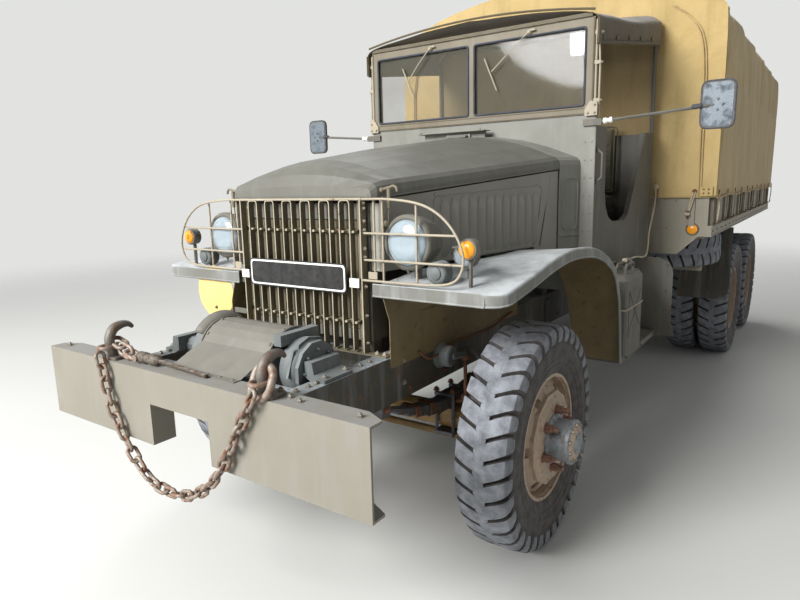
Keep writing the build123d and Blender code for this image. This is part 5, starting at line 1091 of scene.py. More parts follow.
class TRUCK_OT_windscreen_details(bpy.types.Operator):
    """Adds the screen's seals, ribs, wipers, swing arms and blank tag, and the mirrors' details"""
    bl_idname = "truck.windscreen_details"
    bl_label = "Windscreen and mirrors"

    def execute(self, context):
        seals, ribs, arms = bmesh.new(), bmesh.new(), bmesh.new()
        for s in (1, -1):
            a, b = sorted((s * 19.0, s * 642.0))
            for y in (913.5, 944.5):
                pane = round_rectangle(a, b, 1858, 2231, 16)
                pipe(seals, [(u, y, v) for u, v in pane], 5.5, 8, True)
            pipe(ribs, [(s * 680, 915, 1822), (s * 680, 915, 2268)], 4.0, 8)
            pipe(arms, [(s * 694, 925, 1826), (s * 694, 925, 2262)], 6.0, 10)
            pipe(arms, on_side(s, (712, 930, 1800), (712, 930, 2050), (700, 934, 2240)), 5.0, 10)
            for z in (1880, 2060, 2200):
                side_box(arms, s, 684, 718, 918, 938, z - 9, z + 9)
                bolt(arms, (s * 718, 928, z), (s, 0, 0), 6, 6)
            sheet_block(arms, round_box([(s * 648, 1806), (s * 712, 1806), (s * 712, 1868), (s * 676, 1880),
                                         (s * 648, 1840)], 8), 906, 912)
            for x, z in ((664, 1820), (698, 1820), (698, 1858)):
                bolt(arms, (s * x, 906, z), AHEAD, 6.5, 6)
        for z in (2279, 2285, 2291):
            pipe(ribs, [(-676, 906, z), (676, 906, z)], 3.0, 8)
        for z in (1820, 1846):
            pipe(ribs, [(-680, 915, z), (680, 915, z)], 3.4, 8)
        for x, dx, dz in ((345, -215, -172), (-262, -150, -160)):
            turned(arms, (x, 916, 2250), AHEAD, [(13, 0), (13, 10), (8, 14), (8, 20)], 18)
            pipe(arms, [(x, 900, 2250), (x + dx * 0.5, 894, 2250 + dz * 0.5),
                        (x + dx, 904, 2250 + dz)], 3.6, 8)
            pipe(arms, [(x + dx - 45, 909, 2250 + dz + 74), (x + dx + 30, 909, 2250 + dz - 100)], 4.4, 6)
            box(arms, x + 8, x + 34, 898, 904, 2253, 2262)
        make_piece("screen_seals", seals, "screen_seal")
        make_piece("screen_ribs", ribs, "screen")
        make_piece("screen_arms_and_wipers", arms, "guard", 0.6)
        bm = bmesh.new()
        tag = [(562, 2108), (598, 2100), (634, 2108), (638, 2140), (638, 2212), (558, 2212), (558, 2140)]
        sheet_block(bm, round_box(tag, 12), 925.4, 924.6)
        make_piece("screen_tag_blank", bm, "paper")

        mirror_x = 1240.0
        for s, name in SIDES:
            x = s * mirror_x
            bm = bmesh.new()
            loop = [(x + u, v) for u, v in round_rectangle(-71, 71, 1714, 1926, 34)]
            pipe(bm, [(u, 1004, v) for u, v in loop], 5.0, 10, True)
            pipe(bm, [(u, 1014, v) for u, v in loop], 4.0, 10, True)
            turned(bm, (s * 1130, 988, 1814), (s * 0.98, 0.15, 0.1), [(9, 0), (12, 8), (12, 40), (8, 48)], 14)
            make_piece(f"mirror_rim_{name}", bm, "seal")
            bm = bmesh.new()
            inner = [(x + u, v) for u, v in round_rectangle(-64, 64, 1721, 1919, 30)]
            sheet_block(bm, inner, 1000.5, 997.5)
            for dx, dz in ((-22, 0), (22, 0), (0, 24), (0, -24)):
                bolt(bm, (x + dx, 997.5, 1820 + dz), AHEAD, 5, 5)
            make_piece(f"mirror_back_{name}", bm, "galvanised", 0.8)
            bm = bmesh.new()
            sheet_block(bm, inner, 1015.5, 1017.0)
            make_piece(f"mirror_glass_{name}", bm, "chrome")
            bm = bmesh.new()
            joint = [(9, 0), (15, 3), (15, 18), (11, 22), (11, 30), (15, 32), (15, 44), (9, 48)]
            turned(bm, (s * 738, 921, 1776), (s * 0.985, 0.14, 0.09), joint, 16)
            make_piece(f"mirror_arm_adjuster_{name}", bm, "plate_white")
        return {"FINISHED"}


# Canvas over the bed

COVER_HALF = 1128.0
COVER_LOW = 1364.0
COVER_SHOULDER = 2330.0
COVER_FRONT = 1926.0
COVER_REAR = 5760.0
CORNER_Y = 1916.0
BOWS = (1985.0, 2715.0, 3445.0, 4175.0, 4905.0, 5635.0)


def cover_outline(steps):
    """Outline of the bed cover, from its left hem over the top to its right hem, and its length."""
    corner = [(COVER_HALF, COVER_LOW), (COVER_HALF, COVER_SHOULDER), (1090.0, 2500.0), (960.0, 2612.0),
              (720.0, 2690.0), (360.0, 2748.0), (0.0, 2766.0)]
    return even_points(smooth_line(corner, 24), steps)


def drape(x, y, z):
    """How far the cover stands off its frame at a place, in millimetres: pleats down the
    sides, an uneven lie all over and the folds at the front corners."""
    hang = min(max((2450.0 - z) / 1086.0, 0.0), 1.0)
    near_front = math.exp(-max(y - CORNER_Y, 0.0) / 900.0)
    pleat = math.sin(y / 74.0 + 2.2 * math.sin(y / 410.0) + z / 900.0)
    pleat = math.copysign(abs(pleat) ** 0.7, pleat)
    small = noise.noise(Vector((x / 300.0, y / 190.0, z / 520.0)))
    broad = noise.noise(Vector((x / 800.0, y / 620.0, z / 700.0 + 7.0)))
    return (hang * (9.0 + 14.0 * near_front) * pleat * (0.5 + 0.5 * hang) + 12.0 * small + 12.0 * broad
            + gather(y - CORNER_Y, z))


def gather(away, z):
    """Folds that fan out from the cover's pinched front corner, in millimetres."""
    reach = math.hypot(away, z - 2360.0)
    fan = math.sin(13.0 * math.atan2(z - 2360.0, away + 60.0) + 0.8 * math.sin(reach / 160.0))
    return 15.0 * fan * min(reach / 140.0, 1.0) * math.exp(-reach / 620.0)


class TRUCK_OT_bed_cover(bpy.types.Operator):
    """Drapes the tan canvas over the bows and closes it down the front"""
    bl_idname = "truck.bed_cover"
    bl_label = "Bed canvas"

    def execute(self, context):
        depth = context.scene.truck_sizes.fold_depth
        outline, girth = cover_outline(220)
        rows = []
        # the front panel, from a small oval out to the cover's front edge
        for k in range(13):
            share = 0.06 + 0.94 * (k / 12.0) ** 0.8
            row = []
            for p in outline:
                x, z = p.x * share, COVER_LOW + (p.y - COVER_LOW) * share
                bulge = 10.0 * noise.noise(Vector((x / 260.0, 3.0, z / 420.0)))
                pleats = 7.0 * math.sin(x / 38.0 + z / 700.0) * (abs(x) / COVER_HALF) ** 2
                belly = 16.0 * math.sin(math.pi * min(share, 0.999))
                fan = gather(COVER_HALF - abs(x), z) * 0.9
                hollow = min(1924.0 - bulge - pleats - fan - belly * 0.6, 1917.0)
                row.append(Vector((x, hollow if share < 0.999 else 1922.0, z)))
            rows.append(row)
        # the sides and the top, from the front edge to the rear one
        steps = 190
        for k in range(steps + 1):
            t = k / steps
            y = COVER_FRONT + (COVER_REAR - COVER_FRONT) * t
            sag = 0.0
            for a, b in zip(BOWS, BOWS[1:]):
                if a <= y <= b:
                    sag = math.sin(math.pi * (y - a) / (b - a)) ** 2
            tuck = min(1.0, 0.975 + 0.025 * ((y - COVER_FRONT) / 60.0)) if y < COVER_FRONT + 60 else 1.0
            row = []
            for i, p in enumerate(outline):
                before, after = outline[max(i - 1, 0)], outline[min(i + 1, len(outline) - 1)]
                out = Vector((-(after - before).y, (after - before).x)).normalized()
                if out.dot(p - Vector((0, 1900))) < 0:
                    out = -out
                over = min(max((p.y - COVER_SHOULDER) / 440.0, 0.0), 1.0)
                push = drape(p.x, y, p.y) * depth - 12.0 - 36.0 * sag * over
                on_bow = max(math.exp(-((y - b) / 60.0) ** 4) for b in BOWS)
                clear_of_rack = min(max((p.y - 2050.0) / 200.0, 0.0), 1.0)
                push = max(push, -6.0 - 44.0 * (1.0 - on_bow) * clear_of_rack)
                hem = 1.0 if COVER_LOW + 14 < p.y else 0.6
                q = p + out * push * hem
                row.append(Vector((q.x * tuck, y, COVER_LOW + (q.y - COVER_LOW) * tuck)))
            rows.append(row)
        bm = bmesh.new()
        skin(bm, rows, closed=False, ends=False)
        cover = make_piece("bed_cover_canvas", bm, "tan_duck", sharp=80,
                           replaces=["cargo_cover"])
        thicken(cover, "cloth", 2.5, 0.0)
        return {"FINISHED"}


class TRUCK_OT_bed_fittings(bpy.types.Operator):
    """Adds the cover's seam, grommets and lashings, the bed's ribs, reflectors, lamps and tailgate catches"""
    bl_idname = "truck.bed_fittings"
    bl_label = "Bed fittings and lashings"

    def execute(self, context):
        bm = bmesh.new()
        for s in (1, -1):
            seam = smooth_line(on_side(s, (1046, 1910, 1372), (1040, 1904, 1700), (1036, 1904, 2080),
                                       (1010, 1906, 2300), (940, 1908, 2420), (840, 1908, 2500)), 6)
            for shift in (0, 14):
                pipe(bm, [p + Vector((-s * shift, 0, 0)) for p in seam], 4.0, 6)
            pipe(bm, [(s * 1131, y, 1368 + 6 * math.sin(y / 120)) for y in range(1930, 5760, 60)], 6.0, 6)
            side_box(bm, s, 1040, 1112, 1905, 1912, 1376, 1432)
        make_piece("cover_seams", bm, "tan_duck", sharp=60)

        metal, ropes = bmesh.new(), bmesh.new()
        for s in (1, -1):
            for y in [1992 + 365 * k for k in range(11)]:
                eyelet = [(4, -3), (13, -2), (14, 1), (10, 3), (4, 2)]
                turned(metal, (s * 1137, y, 1398), (s, 0, 0), eyelet, 16)
                pipe(metal, on_side(s, (1116, y, 1206), (1134, y, 1204), (1138, y, 1216),
                                    (1132, y, 1226)), 4.5, 8)
                pipe(ropes, on_side(s, (1139, y, 1396), (1140, y + 8, 1300), (1134, y, 1212)), 4.2, 8)
            for dx, dz in ((-14, -12), (14, -12), (-14, 12), (14, 12)):
                bolt(metal, (s * 1076 + dx, 1905, 1404 + dz), AHEAD, 4, 3)
            turned(metal, (s * 1010, 1912, 1404), AHEAD, [(4, -3), (14, -2), (15, 1), (11, 3), (4, 2)], 18)
            side_box(metal, s, 962, 990, 1906, 1930, 1258, 1272)
            pipe(metal, on_side(s, (976, 1914, 1240), (976, 1900, 1265), (976, 1914, 1292)), 6.0, 8)
            for dx in (-6, 8):
                pipe(ropes, [(s * (1010 + dx), 1908, 1400), (s * (984 + dx * 0.6), 1900, 1286)], 4.2, 8)
            turned(ropes, (s * 978, 1898, 1266), UP, [(9, -10), (15, -6), (16, 0), (15, 6), (9, 10)], 14)
            x = s * 790.0
            pipe(metal, [(x, 1900, 1420), (x, 1894, 1440), (x, 1884, 1446), (x, 1876, 1436)], 6.0, 10)
            turned(metal, (x, 1896, 1400), (0, 0, -1), [(6, -22), (11, -18), (11, 34), (6, 38)], 12)
            pipe(metal, [(x, 1896, 1362), (x, 1896, 1330)], 5.0, 8)
        make_piece("cover_hooks_and_eyelets", metal, "rust", 0.4)
        line = smooth_line([(790, 1880, 1440), (800, 1830, 1330), (806, 1700, 1180), (806, 1652, 1034),
                            (806, 1400, 1046), (806, 1177, 1050)], 8)
        pipe(ropes, line, 5.0, 8)
        turned(ropes, (790, 1880, 1436), (0.2, -0.4, -1),
               [(8, -14), (15, -8), (17, 2), (14, 12), (8, 16)], 14)
        turned(ropes, (806, 1177, 1050), AHEAD, [(8, -14), (14, -8), (15, 2), (8, 12)], 14)
        make_piece("cover_lashings", ropes, "cotton_rope")

        bm = bmesh.new()
        for s in (1, -1):
            for y in [2168 + 365 * k for k in range(10)]:
                side_box(bm, s, 1091, 1107, y - 24, y + 24, 1199, 1590)
            pipe(bm, [(s * 1096, y, 1596) for y in (1935, 3800, 5700)], 9.0, 10)
            for y in [1960 + 182.5 * k for k in range(21)]:
                bolt(bm, (s * 1116, y, 1160), (s, 0, 0), 7, 6)
            side_box(bm, s, 1112, 1122, 1936, 5740, 1128, 1134)
            side_box(bm, s, 1112, 1122, 1936, 5740, 1186, 1192)
        for x in range(-1000, 1001, 250):
            box(bm, x - 16, x + 16, 1918, 1930.5, 1190, 1740)
            bolt(bm, (x, 1930, 1160), AHEAD, 8, 7)
        make_piece("bed_side_ribs", bm, "bed", 1.0)

        lenses = (("front_reflector", "amber", 1008, 1929, 1172, -1, 31),
                  ("tail_lamp", "red_lens", 860, 5725, 1062, 1, 38))
        for name, finish, x, y, z, turn, r in lenses:
            for s, side in SIDES:
                bm = bmesh.new()
                glass = [(r, 0), (r, 5), (r * 0.8, 9), (r * 0.4, 12), (1, 12.5)]
                turned(bm, (s * x, y, z), (0, turn, 0), glass, 32)
                make_piece(f"{name}_{side}", bm, finish, sharp=50)
                bm = bmesh.new()
                rim = [(r - 1, -1), (r + 7, -1), (r + 7, 5), (r + 3, 8), (r - 1, 6)]
                turned(bm, (s * x, y, z), (0, turn, 0), rim, 32, ends=False)
                make_piece(f"{name}_rim_{side}", bm, "body")

        bm = bmesh.new()
        for s in (1, -1):
            side_box(bm, s, 1040, 1068, 5747, 5753, 1520, 1596)
            for z in (1540, 1578):
                bolt(bm, (s * 1054, 5753, z), (0, 1, 0), 7, 6)
            pipe(bm, [(s * 1040, 5756, 1560), (s * 980, 5758, 1560)], 6, 10)
            for x in (900, 300):
                for z in (1220, 1238):
                    bolt(bm, (s * x, 5755, z), (0, 1, 0), 6.5, 5)
        make_piece("tailgate_catches", bm, "bed", 0.6, body="tailgate")
        bm = bmesh.new()
        for dx in (-60, 60):
            for z in (680, 826):
                bolt(bm, (dx, 5656, z), (0, 1, 0), 11, 9)
        for s in (1, -1):
            for z in (656, 764):
                bolt(bm, (s * 440, 5719, z), (0, 1, 0), 9, 7)
        turned(bm, (0, 5738, 772), UP, [(14, -4), (18, 0), (18, 8), (10, 12)], 16)
        make_piece("rear_bolts", bm, "bolt", 0.6)
        return {"FINISHED"}


# Canvas roof of the cab

# the roof's front edge and length, and how it widens and rises toward the rear
ROOF_FRONT = 896.0
ROOF_LENGTH = 971.0
ROOF_WIDENS = 0.078
ROOF_RISES = 0.14


def roof_outline(y, steps):
    """Outline of the cab roof canvas at y, from its left valance over to its right one."""
    t = (y - ROOF_FRONT) / ROOF_LENGTH
    side = 2262.0 + 136.0 * t
    top = 2361.0 + 97.0 * t
    wide = 706.0 + 76.0 * t
    low = side - 116.0
    half = [(wide - 2, low), (wide, side - 20.0), (wide - 18, side + 26.0),
            (wide - 130, side + 54.0 + 12 * t), (wide * 0.45, top - 20.0), (0.0, top)]
    return even_points(smooth_line(half, 12), steps)[0]


def valance(s, x, y, z):
    """A place on the roof's side edge, given as it is at the roof's front."""
    return s * (x + ROOF_WIDENS * (y - ROOF_FRONT)), y, z + ROOF_RISES * (y - ROOF_FRONT)


class TRUCK_OT_cab_roof(bpy.types.Operator):
    """Stretches the dark canvas roof from the windscreen to its bow, with valances and back curtain"""
    bl_idname = "truck.cab_roof"
    bl_label = "Cab roof canvas"

    def execute(self, context):
        rows = []
        for k in range(61):
            y = ROOF_FRONT + (ROOF_LENGTH - 4.0) * k / 60
            row = []
            for p in roof_outline(y, 120):
                hang = min(max((2300.0 + ROOF_RISES * (y - ROOF_FRONT) - p.y) / 130.0, 0.0), 1.0)
                fold = 5.0 * noise.noise(Vector((y / 130.0, p.y / 400.0, 4.0))) * hang
                slack = 7.0 * noise.noise(Vector((p.x / 210.0, y / 260.0, 1.0)))
                dip = -16.0 * math.sin(math.pi * k / 60) * (1 - hang)
                out = math.copysign(1.0, p.x) * fold * hang
                row.append(Vector((p.x - math.copysign(2.0 * hang, p.x) + out, y,
                                   p.y + dip + slack * (1 - hang) - 6)))
            rows.append(row)
        curtain_low = 1702.0
        last = rows[-1]
        for k in range(1, 31):
            drop = k / 30
            row = []
            for p in last:
                z = p.z + (curtain_low - p.z) * drop
                x = p.x * (1.0 - 0.022 * min(1.0, drop * 6))
                fold = 5.0 * math.sin(x / 46.0 + 2.0 * noise.noise(Vector((x / 300, 0, z / 300)))) * drop
                row.append(Vector((x, 1861.0 + 2.5 * min(1.0, drop * 8) - abs(fold) * 0.8, z)))
            rows.append(row)
        bm = bmesh.new()
        skin(bm, rows, closed=False, ends=False)
        # the back curtain takes the lighter canvas copy, painted light
        curtain_front = 1856.0
        for face in bm.faces:
            face.material_index = 1 if face.calc_center_median().y > curtain_front else 0
        roof = make_piece("cab_roof_canvas", bm, ["olive_duck", "curtain"], sharp=80,
                          replaces=["cab_roof"])
        thicken(roof, "cloth", 2.5, 0.0)

        bm = bmesh.new()
        for s in (1, -1):
            flap = [Vector((s * 708, y, z)) for y, z in ((893, 2150), (893, 2262), (960, 2268), (1010, 2180))]
            skin(bm, [flap, [p + Vector((s * 5, 0, 0)) for p in flap]])
            hem = [valance(s, 709, y, 2150) for y in range(896, 1866, 121)]
            pipe(bm, hem, 5.0, 8)
            for y in range(960, 1860, 180):
                turned(bm, valance(s, 712, y, 2172), (s, 0, 0),
                       [(4, -4), (12, -3), (13, 0), (10, 2), (4, 1)], 16)
        seam = [(x, 893, 2300 + 62 * (1 - (x / 706) ** 2)) for x in range(-690, 691, 60)]
        pipe(bm, seam, 6.0, 8)
        make_piece("cab_roof_hems", bm, "olive_duck", sharp=60)
        bm = bmesh.new()
        for k in range(14):
            x = -650 + 100 * k
            pipe(bm, [(x, 1868, 1770), (x + 50, 1870, 1815)], 4.0, 6)
            pipe(bm, [(x + 50, 1870, 1815), (x + 100, 1868, 1770)], 4.0, 6)
        pipe(bm, [(742, 1872, 1700), (742, 1872, 2380)], 11.0, 10)
        make_piece("back_curtain_lacing", bm, "cotton_rope")
        return {"FINISHED"}


# Fenders, suspension and cab

FENDER_ROWS = (
    # along y, top at the outer edge, lean in degrees, how far the inner edge drops, plan corner
    (-515.0, 1131.0, 8.0, 0.0, 70.0), (-507.0, 1132.0, 8.0, 0.0, 36.0), (-488.0, 1135.0, 8.0, 0.0, 12.0),
    (-450.0, 1140.6, 8.0, 0.0, 0.0), (-300.0, 1163.0, 9.0, 0.0, 0.0), (-90.0, 1200.0, 8.0, 46.0, 0.0),
    (90.0, 1218.0, 2.0, 74.0, 0.0), (270.0, 1214.0, -4.0, 70.0, 0.0), (440.0, 1192.0, -12.0, 32.0, 0.0),
    (610.0, 1140.0, -24.0, 2.0, 0.0), (735.0, 1066.0, -40.0, 0.0, 0.0), (822.0, 940.0, -64.0, 0.0, 0.0),
    (868.0, 770.0, -78.0, 0.0, 0.0), (905.0, 557.0, -82.0, 0.0, 0.0))


class TRUCK_OT_fenders(bpy.types.Operator):
    """Sweeps the smooth fenders with their rolled lips, the aprons behind them and their bolts"""
    bl_idname = "truck.fenders"
    bl_label = "Fenders"

    def execute(self, context):
        flat = smooth_line([Vector((y, z, drop)) for y, z, lean, drop, drawn in FENDER_ROWS], 5)
        more = smooth_line([Vector((lean, drawn, 0)) for y, z, lean, drop, drawn in FENDER_ROWS], 5)
        bm = bmesh.new()
        for s in (1, -1):
            rows, lip = [], []
            for (y, z, drop), (lean, drawn, _) in zip(flat, more):
                outer = 888.0 - max(drawn, 0.0)
                if y < 763:
                    inner = seam_place(max(y, -500.0))[0] + 5
                else:
                    inner = 583.0 + 54.0 * min((y - 763) / 162.0, 1.0)
                drop = max(drop, 0.0) * (outer - 14 - inner) / (outer - 344.0)
                a = math.radians(lean)
                bend = [(outer - 14 + 14 * math.sin(t), -14 + 14 * math.cos(t))
                        for t in (0, 0.4, 0.8, 1.2, 1.57)]
                line = [(inner, -drop)] + bend + [
                    (outer, -42), (outer - 3, -42), (outer - 3, -14), (outer - 15, -4), (inner, -drop - 4)]
                rows.append([Vector((s * u, y - v * math.sin(a), z + v * math.cos(a))) for u, v in line])
                lip.append(Vector((s * (outer - 2), y + 42 * math.sin(a), z - 42 * math.cos(a))))
            skin(bm, rows, index=(0, 0, 0, 0, 0, 0, 0, 1, 1, 1, 0))
            pipe(bm, lip, 4.0, 8)
            corners = ((362, 1131), (800, 1131), (817, 1124), (817, 1090), (362, 1090))
            edge = [Vector((s * u, -515.0, v)) for u, v in corners]
            skin(bm, [edge, [p + Vector((0, 4, 0)) for p in edge]])
            pipe(bm, [(s * 362, -513, 1089), (s * 816, -513, 1089)], 4.0, 8)
            pipe(bm, on_side(s, (362, -511, 1131), (800, -511, 1131), (815, -511, 1122),
                             (815, -511, 1091)), 4.5, 10)
            for y in (-440, -330, -210):
                rivet(bm, (s * (seam_place(y)[0] + 26), y, 1132 + (y + 450) * 0.15 + 8), UP, 7)
            rail = 428.3
            rows = []
            for y, z, lean, drop, drawn in FENDER_ROWS[1:10]:
                u = seam_place(y)[0] + 5
                share = (u - 330.0) / 544.0
                top = z - 5 - drop * (1 - share)
                rows.append([Vector((s * a, y, b)) for a, b in (
                    (rail, 820), (rail + 3, 820), (rail + 3, 1000), (u + 3, top), (u, top), (rail, 1003))])
            skin(bm, rows, index=1)
            for y in range(-260, 600, 107):
                rivet(bm, (s * (rail + 3), y, 838), (s, 0, 0), 6.5, 1)
            pipe(bm, [(s * (rail + 4), y, 1001) for y in (-300, 150, 610)], 3.0, 8, index=1)
            for y in (-120, 180, 470):
                bolt(bm, (s * (rail + 3), y, 930), (s, 0, 0), 8, 6, 1)
        make_piece("fender_sheets", bm, ["fender", "apron"], sharp=40,
                   replaces=["fenders"])
        return {"FINISHED"}


class TRUCK_OT_suspension(bpy.types.Operator):
    """Adds shock absorbers, spring clips, hoses and bolts, straps on the tank, and the can's lashing"""
    bl_idname = "truck.suspension"
    bl_label = "Suspension and tank details"

    def execute(self, context):
        bm, rusty = bmesh.new(), bmesh.new()
        for s in (1, -1):
            damper = [(52, 0), (54, 4), (54, 12), (44, 20), (44, 58), (36, 64)]
            turned(bm, (s * 428, -160, 790), (s, 0, 0), damper, 28)
            for a in turns(6):
                bolt(bm, (s * 440, -160 + 49 * math.cos(a), 790 + 49 * math.sin(a)), (s, 0, 0), 5, 5)
            pipe(bm, [(s * 484, -160, 790), (s * 484, -40, 772)], [16.0, 11.0], 12)
            pipe(rusty, [(s * 484, -40, 772), (s * 484, -38, 560)], 8.0, 10)
            for z in (758, 580):
                turned(rusty, (s * 484, -39, z), UP, [(10, -14), (18, -8), (19, 0), (18, 8), (10, 14)], 16)
            pipe(rusty, [(s * 484, -38, 566), (s * 430, -30, 548)], 9.0, 10)
            for y in (-330.0, -215.0, 215.0, 330.0):
                z = 572 + 96 * (y / 530) ** 2
                for x in (356, 430):
                    side_box(rusty, s, x - 3, x + 3, y - 14, y + 14, z - 34, z + 9)
                side_box(rusty, s, 356, 430, y - 14, y + 14, z + 6, z + 11)
            for y in (-530.0, 530.0):
                bolt(rusty, (s * 421, y, 668), (s, 0, 0), 14, 14)
            for y in (-62, 62):
                for x in (352, 434):
                    bolt(rusty, (s * x, y, 596), UP, 11, 12)
            hose = on_side(s, (436, 90, 760), (500, 96, 690), (520, 70, 600), (470, 40, 524))
            pipe(bm, smooth_line(hose, 6), 9.0, 10)
            tube = on_side(s, (440, -330, 846), (446, -250, 800), (446, -60, 826), (446, 260, 812),
                           (440, 520, 846))
            pipe(rusty, smooth_line(tube, 6), 5.0, 8)
            for y in range(-380, 5600, 260):
                bolt(rusty, (s * 428, y, 716), (s, 0, 0), 7, 5)
            for y in (MID_AXLE, REAR_AXLE):
                for dy in (-90, 90):
                    bolt(rusty, (s * 492, y + dy, 664), UP, 11, 14)
        make_piece("front_dampers", bm, "gear_case", 0.8)
        make_piece("spring_clips_and_links", rusty, "rust", 0.6)

        bm = bmesh.new()
        for y in (2250.0, 2830.0):
            loop = round_rectangle(-892, -508, 648, 972, 92)
            flat_bar(bm, loop + [loop[0]], 2.5, y - 22, y + 22)
        turned(bm, (-700, 2330, 966), UP, [(52, 0), (52, 22), (58, 23), (58, 36), (40, 42), (2, 43)], 32)
        for y in (1190, 1600):
            turned(bm, (-505, y, 728), (0, 1, 0), [(64, -12), (66, -11), (66, 11), (64, 12)], 32, ends=False)
        make_piece("tank_straps_and_cap", bm, "body", 0.8)

        bm = bmesh.new()
        loop = [(u, v, 820.0) for u, v in round_rectangle(724, 888, 935, 1284, 30)]
        pipe(bm, loop, 4.5, 8, True)
        make_piece("can_lashing", bm, "cotton_rope")
        bm = bmesh.new()
        for x in (888.0, 721.5):
            for low, high in ((690, 900), (900, 690)):
                pipe(bm, [(x, 1000, low), (x, 1220, high)], 4.0, 8)
        for dz in (0, 212):
            pipe(bm, [(887, 990, 690 + dz), (887, 1230, 690 + dz)], 3.0, 8)
        pipe(bm, [(745, 936.0, 640), (867, 936.0, 960)], 3.0, 8)
        pipe(bm, [(867, 936.0, 640), (745, 936.0, 960)], 3.0, 8)
        turned(bm, (806, 1252, 1020), (0, 0.5, 0.9), [(30, -2), (32, 2), (32, 14), (24, 20), (4, 22)], 24)
        pipe(bm, [(790, 1232, 1030), (790, 1262, 1056), (822, 1262, 1056), (822, 1232, 1030)], 4.0, 8)
        make_piece("can_beads_and_cap", bm, "body")
        return {"FINISHED"}


class TRUCK_OT_cab_fittings(bpy.types.Operator):
    """Adds the dash with its gauges, the levers, pedals, grab handles, step treads and door edge"""
    bl_idname = "truck.cab_fittings"
    bl_label = "Cab fittings"

    def execute(self, context):
        bm, dark, dials = bmesh.new(), bmesh.new(), bmesh.new()
        box(bm, -560, 560, 937, 962, 1600, 1742)
        box(bm, 120, 470, 956, 972, 1612, 1732)
        for x, z, r in ((180, 1672, 34), (262, 1672, 44), (352, 1672, 44), (430, 1672, 30)):
            turned(dials, (x, 972, z), (0, 1, 0), [(r, -2), (r, 2), (1, 2.2)], 32)
            turned(bm, (x, 972, z), (0, 1, 0), [(r - 1, 0), (r + 4, 0), (r + 4, 6), (r, 8), (r - 1, 4)],
                   32, ends=False)
        for x in (-90, -40, 10, 60):
            turned(dark, (x, 962, 1660), (0, 1, 0), [(6, 0), (6, 20), (12, 22), (12, 32), (8, 36)], 16)
        levers = (((20, 1250, 1000), (10, 1330, 1480), 8), ((-70, 1300, 1000), (-76, 1360, 1330), 7),
                  ((-130, 1300, 1000), (-136, 1352, 1300), 7), ((90, 1220, 1000), (96, 1290, 1380), 9))
        for base, top, r in levers:
            pipe(bm, [base, Vector(base).lerp(Vector(top), 0.5) + Vector((0, 14, 0)), top], r, 10)
            turned(dark, top, (0, 0.1, 1), [(8, -8), (18, 2), (22, 14), (18, 27), (6, 34)], 20)
        for x in (250, 430):
            pipe(bm, [(x, 1120, 1002), (x, 1060, 1120), (x, 1040, 1150)], 9, 10)
            box(dark, x - 40, x + 40, 1028, 1044, 1120, 1190)
        box(dark, 500, 560, 1060, 1120, 1002, 1100)
        pipe(bm, [(350, 1345, 1650), (350, 1330, 1640)], 24, 16)
        turned(dark, (350, 1352, 1656), (0, 0.77, 0.64), [(24, -4), (24, 2), (14, 8), (2, 9)], 24)
        make_piece("dash_and_levers", bm, "body", 1.0)
        make_piece("knobs_and_pedals", dark, "hose", 0.6)
        make_piece("gauge_faces", dials, "dial")
        for s, side in SIDES:
            bm = bmesh.new()
            for z in (1480, 1640):
                side_box(bm, s, 700, 712, 950, 966, z - 12, z + 12)
            pipe(bm, on_side(s, (706, 958, 1480), (730, 958, 1500), (730, 958, 1620),
                             (706, 958, 1640)), 7, 10)
            edge = smooth_line(on_side(
                s, (702, 1085, 1750), (702, 1085, 1440), (703, 1106, 1350), (705, 1150, 1290),
                (710, 1225, 1258), (722, 1390, 1258), (732, 1466, 1290), (752, 1676, 1698),
                (754, 1700, 1756)), 5)
            pipe(bm, edge, 5.0, 8)
            for y in range(960, 1640, 40):
                side_box(bm, s, 600, 700, y - 4, y + 4, 573, 576)
            for y in (1000, 1300, 1600):
                bolt(bm, (s * 880, y, 558), (s, 0, 0), 7, 6)
            for z in (640, 820, 980):
                bolt(bm, (s * 930, 1640, z), AHEAD, 7, 6)
            for y in range(980, 1840, 95):
                rivet(bm, (s * (702 + (y - 937) * 0.07), y, 930), (s, 0, 0), 6)
            make_piece(f"cab_handles_and_steps_{side}", bm, "body", 0.6)
        return {"FINISHED"}


# Seats

def cushion_form(bm, low, high, crown, pull, steps=18):
    """A boxed pad whose top is crowned and whose sides pull in between the corners."""
    low, high = Vector(low), Vector(high)
    size = high - low
    bmesh.ops.create_cube(bm, size=1.0)
    bmesh.ops.subdivide_edges(bm, edges=bm.edges, cuts=steps, use_grid_fill=True)
    for vert in bm.verts:
        u, v, w = (c + 0.5 for c in vert.co)
        place = Vector((low.x + size.x * u, low.y + size.y * v, low.z + size.z * w))
        swell = [math.sin(math.pi * min(max(t, 0), 1)) for t in (u, v, w)]
        axis = min(range(3), key=lambda i: size[i])
        for i in range(3):
            others = [swell[j] for j in range(3) if j != i]
            edge = abs((u, v, w)[i] - 0.5) * 2
            amount = crown if i == axis else -pull
            push = edge ** 4 * amount * others[0] ** 0.5 * others[1] ** 0.5
            place[i] += math.copysign(push, (u, v, w)[i] - 0.5)
        vert.co = place


def shaped_mesh(piece):
    """The piece's mesh with its modifiers, as new mesh data."""
    graph = bpy.context.evaluated_depsgraph_get()
    graph.update()
    return bpy.data.meshes.new_from_object(piece.evaluated_get(graph))


